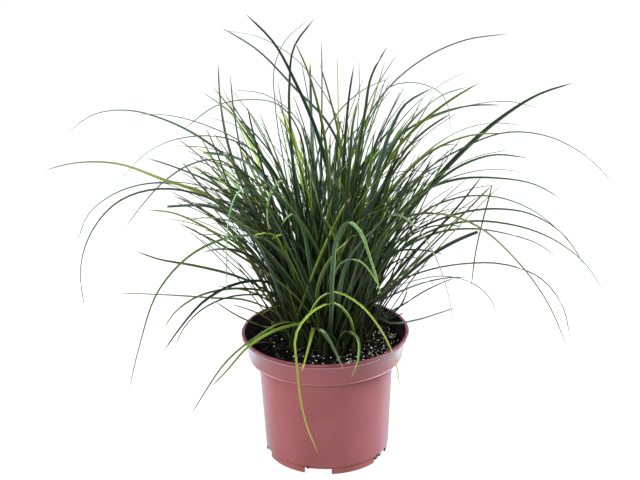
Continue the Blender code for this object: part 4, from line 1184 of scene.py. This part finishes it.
def grain_shape(rng, work, centre, size, squash):
    """A rough rounded lump."""
    made = bmesh.ops.create_icosphere(work, subdivisions=1, radius=size / 2)["verts"]
    angle = rng.uniform(0, tau)
    axis = Vector((rng.gauss(0, 1), rng.gauss(0, 1), 1)).normalized()
    turn = Matrix.Rotation(angle, 3, axis)
    for vertex in made:
        vertex.co *= rng.uniform(*ROUGHNESS)
        vertex.co = turn @ vertex.co
        vertex.co.z *= squash
        vertex.co += centre


def on_soil(rng, reach):
    radius = reach * sqrt(rng.random())
    return soil_place(radius, rng.uniform(0, tau))


def make_grains(name, material, seed, draw, *details):
    """A piece of grains, whose places, sizes and squashes are drawn one after the other."""
    rng = random.Random(seed)
    work = bmesh.new()
    for grain in draw(rng, *details):
        grain_shape(rng, work, *grain)
    add_piece(name, mesh_from(work, name), material, "soil")


def scattered(rng, count, sizes, squash, patchy=False):
    """Loose grains over the soil; patchy ones lie in drifts, most of them to the right."""
    for _ in range(count):
        size = (sizes[0] + (sizes[1] - sizes[0]) * rng.random() ** SMALL_GRAINS) * MM
        centre = on_soil(rng, SOIL_RADIUS - 1.5 * MM)
        drift = noise.noise(centre * DRIFT_SCALE) + centre.x / SOIL_RADIUS
        if patchy and rng.random() > DRIFT_SHARE + DRIFT_SHARE * drift:
            continue
        centre.z += size * squash * GRAIN_LIFT
        yield centre, size, squash


def stuck(rng, count, azimuths, reaches, heights, sizes):
    """Grains that stick to the rim or in a notch of the foot."""
    for _ in range(count):
        azimuth = radians(rng.uniform(*azimuths))
        reach = rng.uniform(*reaches) * MM
        centre = polar(reach, azimuth, rng.uniform(*heights) * MM)
        yield centre, rng.uniform(*sizes) * MM, STUCK_SQUASH


def in_drains(rng):
    """Soil that shows in the drain holes."""
    for number in range(NOTCHES):
        for _ in range(PLUG_GRAINS):
            reach = FOOT_RADIUS - rng.uniform(*PLUG_DEPTH) * MM
            centre = polar(reach, drain_azimuth(number), DRAIN_HEIGHT - 0.4 * MM)
            aside = [rng.uniform(-PLUG_SPREAD, PLUG_SPREAD) * MM for _ in range(3)]
            yield centre + Vector(aside), PLUG_GRAIN, 1.0


def fibre_rings(rng):
    """A thin dry root or straw that lies on the soil."""
    x, y, _ = on_soil(rng, SOIL_RADIUS - 4 * MM)
    heading = rng.uniform(0, tau)
    length = rng.uniform(*FIBRE_LENGTH) * MM
    radius = rng.uniform(*FIBRE_RADIUS) * MM
    bend = rng.uniform(-FIBRE_BEND, FIBRE_BEND)
    limit = SOIL_RADIUS - 1.0 * MM
    rings = []
    for step in range(FIBRE_STEPS + 1):
        direction = heading + bend * step / FIBRE_STEPS
        if step:
            x += cos(direction) * length / FIBRE_STEPS
            y += sin(direction) * length / FIBRE_STEPS
        reach = hypot(x, y)
        if reach > limit:
            x, y = x * limit / reach, y * limit / reach
        middle = Vector((x, y, SOIL_TOP + soil_lift(x, y) + radius * FIBRE_LIFT))
        side = Vector((-sin(direction), cos(direction), 0.0))
        thick = radius * (FIBRE_END if step in (0, FIBRE_STEPS) else 1.0)
        rings.append([middle + side * thick * cos(angle) + Vector((0, 0, thick * sin(angle)))
                      for angle in turns(FIBRE_SIDES)])
    return rings


def make_fibres(count, seed):
    rng = random.Random(seed)
    vertices = []
    faces = []
    for _ in range(count):
        add_tube(vertices, faces, fibre_rings(rng))
    material = speckled_material("dry fibre", 180.0, 3.0, FIBRE_COLOURS, 0.7)
    add_piece("soil_fibres", new_mesh("soil_fibres", vertices, faces), material, "soil")


def make_loose():
    """Perlite, bark, crumbs and fibres on the soil, and the grains that stick to the pot."""
    perlite = speckled_material("perlite", 450.0, 4.0, PERLITE_COLOURS, 0.85, noise_roughness=0.7,
                                relief=(0.6, 0.0003))
    bark = speckled_material("bark bit", 300.0, 3.0, BARK_COLOURS, 0.9)
    crumbs = speckled_material("soil crumb", 420.0, 4.0, CRUMB_COLOURS, 0.9, 0.08)
    make_grains("perlite", perlite, 3, scattered, 1800, (0.22, 1.5), 0.8, True)
    make_grains("bark_bits", bark, 6, scattered, 120, (0.3, 1.2), 0.6)
    make_grains("soil_crumbs", crumbs, 4, scattered, 1100, (0.8, 3.0), 0.7)
    make_grains("rim_grains", bark, 11, stuck, 24, *RIM_ZONE)
    make_grains("notch_grains", crumbs, 12, stuck, 24, *NOTCH_ZONE)
    make_grains("pale_notch_grains", perlite, 13, stuck, 9, *NOTCH_ZONE)
    make_grains("side_notch_grains", crumbs, 14, stuck, 18, *SIDE_NOTCH_ZONE)
    make_grains("drain_plugs", crumbs, 15, in_drains)
    make_fibres(90, 5)


# Floor, light and camera


def seen_strength(tree, strengths):
    """One strength for the rays that light the plant and another for those that show the background."""
    seen = tree.nodes.new("ShaderNodeLightPath")
    node = add_node(tree, "ShaderNodeMapRange", Value=seen.outputs["Is Camera Ray"], To_Min=strengths[0],
                    To_Max=strengths[1])
    return node.outputs["Result"]


def make_stage():
    """A white floor that keeps only a hint of the pot's shadow."""
    material, tree, shader = new_material("floor")
    set_inputs(shader, Base_Color=FLOOR_COLOUR, Roughness=0.9, Specular_IOR_Level=0.0, Emission_Color=WHITE,
               Emission_Strength=seen_strength(tree, FLOOR_GLOW))
    corners = [(x * FLOOR_HALF, y * FLOOR_HALF, FLOOR_LEVEL)
               for x, y in ((-1, -1), (1, -1), (1, 1), (-1, 1))]
    mesh = new_mesh("floor", corners, [(0, 1, 2, 3)])
    mesh.materials.append(material)
    new_object("floor", mesh)


def make_lights():
    """A white surround, dimmer as a light than as a backdrop, and the area lights."""
    world = bpy.data.worlds.new("studio")
    bpy.context.scene.world = world
    world.use_nodes = True
    tree = world.node_tree
    set_inputs(tree.nodes["Background"], Color=WHITE, Strength=seen_strength(tree, AMBIENT))
    for name, place, size, power, colour in LIGHTS:
        data = bpy.data.lights.new(name, "AREA")
        data.shape = "RECTANGLE"
        data.size, data.size_y = size
        data.energy = power
        data.color = colour
        obj = new_object(name, data)
        obj.location = place
        obj.rotation_euler = (Vector(LIT_PLACE) - Vector(place)).to_track_quat("-Z", "Y").to_euler()


def make_camera():
    data = bpy.data.cameras.new("camera")
    data.sensor_width = SENSOR
    data.lens = FOCAL_PIXELS / IMAGE_SIZE[0] * SENSOR
    data.clip_end = 50.0
    camera = new_object("camera", data)
    turn = Matrix((RIGHT, UP, -FORWARD)).transposed()
    camera.matrix_world = Matrix.Translation(EYE) @ turn.to_4x4()
    bpy.context.scene.camera = camera


def main():
    bpy.context.scene.view_settings.view_transform = "Standard"
    make_camera()
    make_pot()
    make_soil()
    make_loose()
    make_shoots()
    make_stage()
    make_lights()


main()
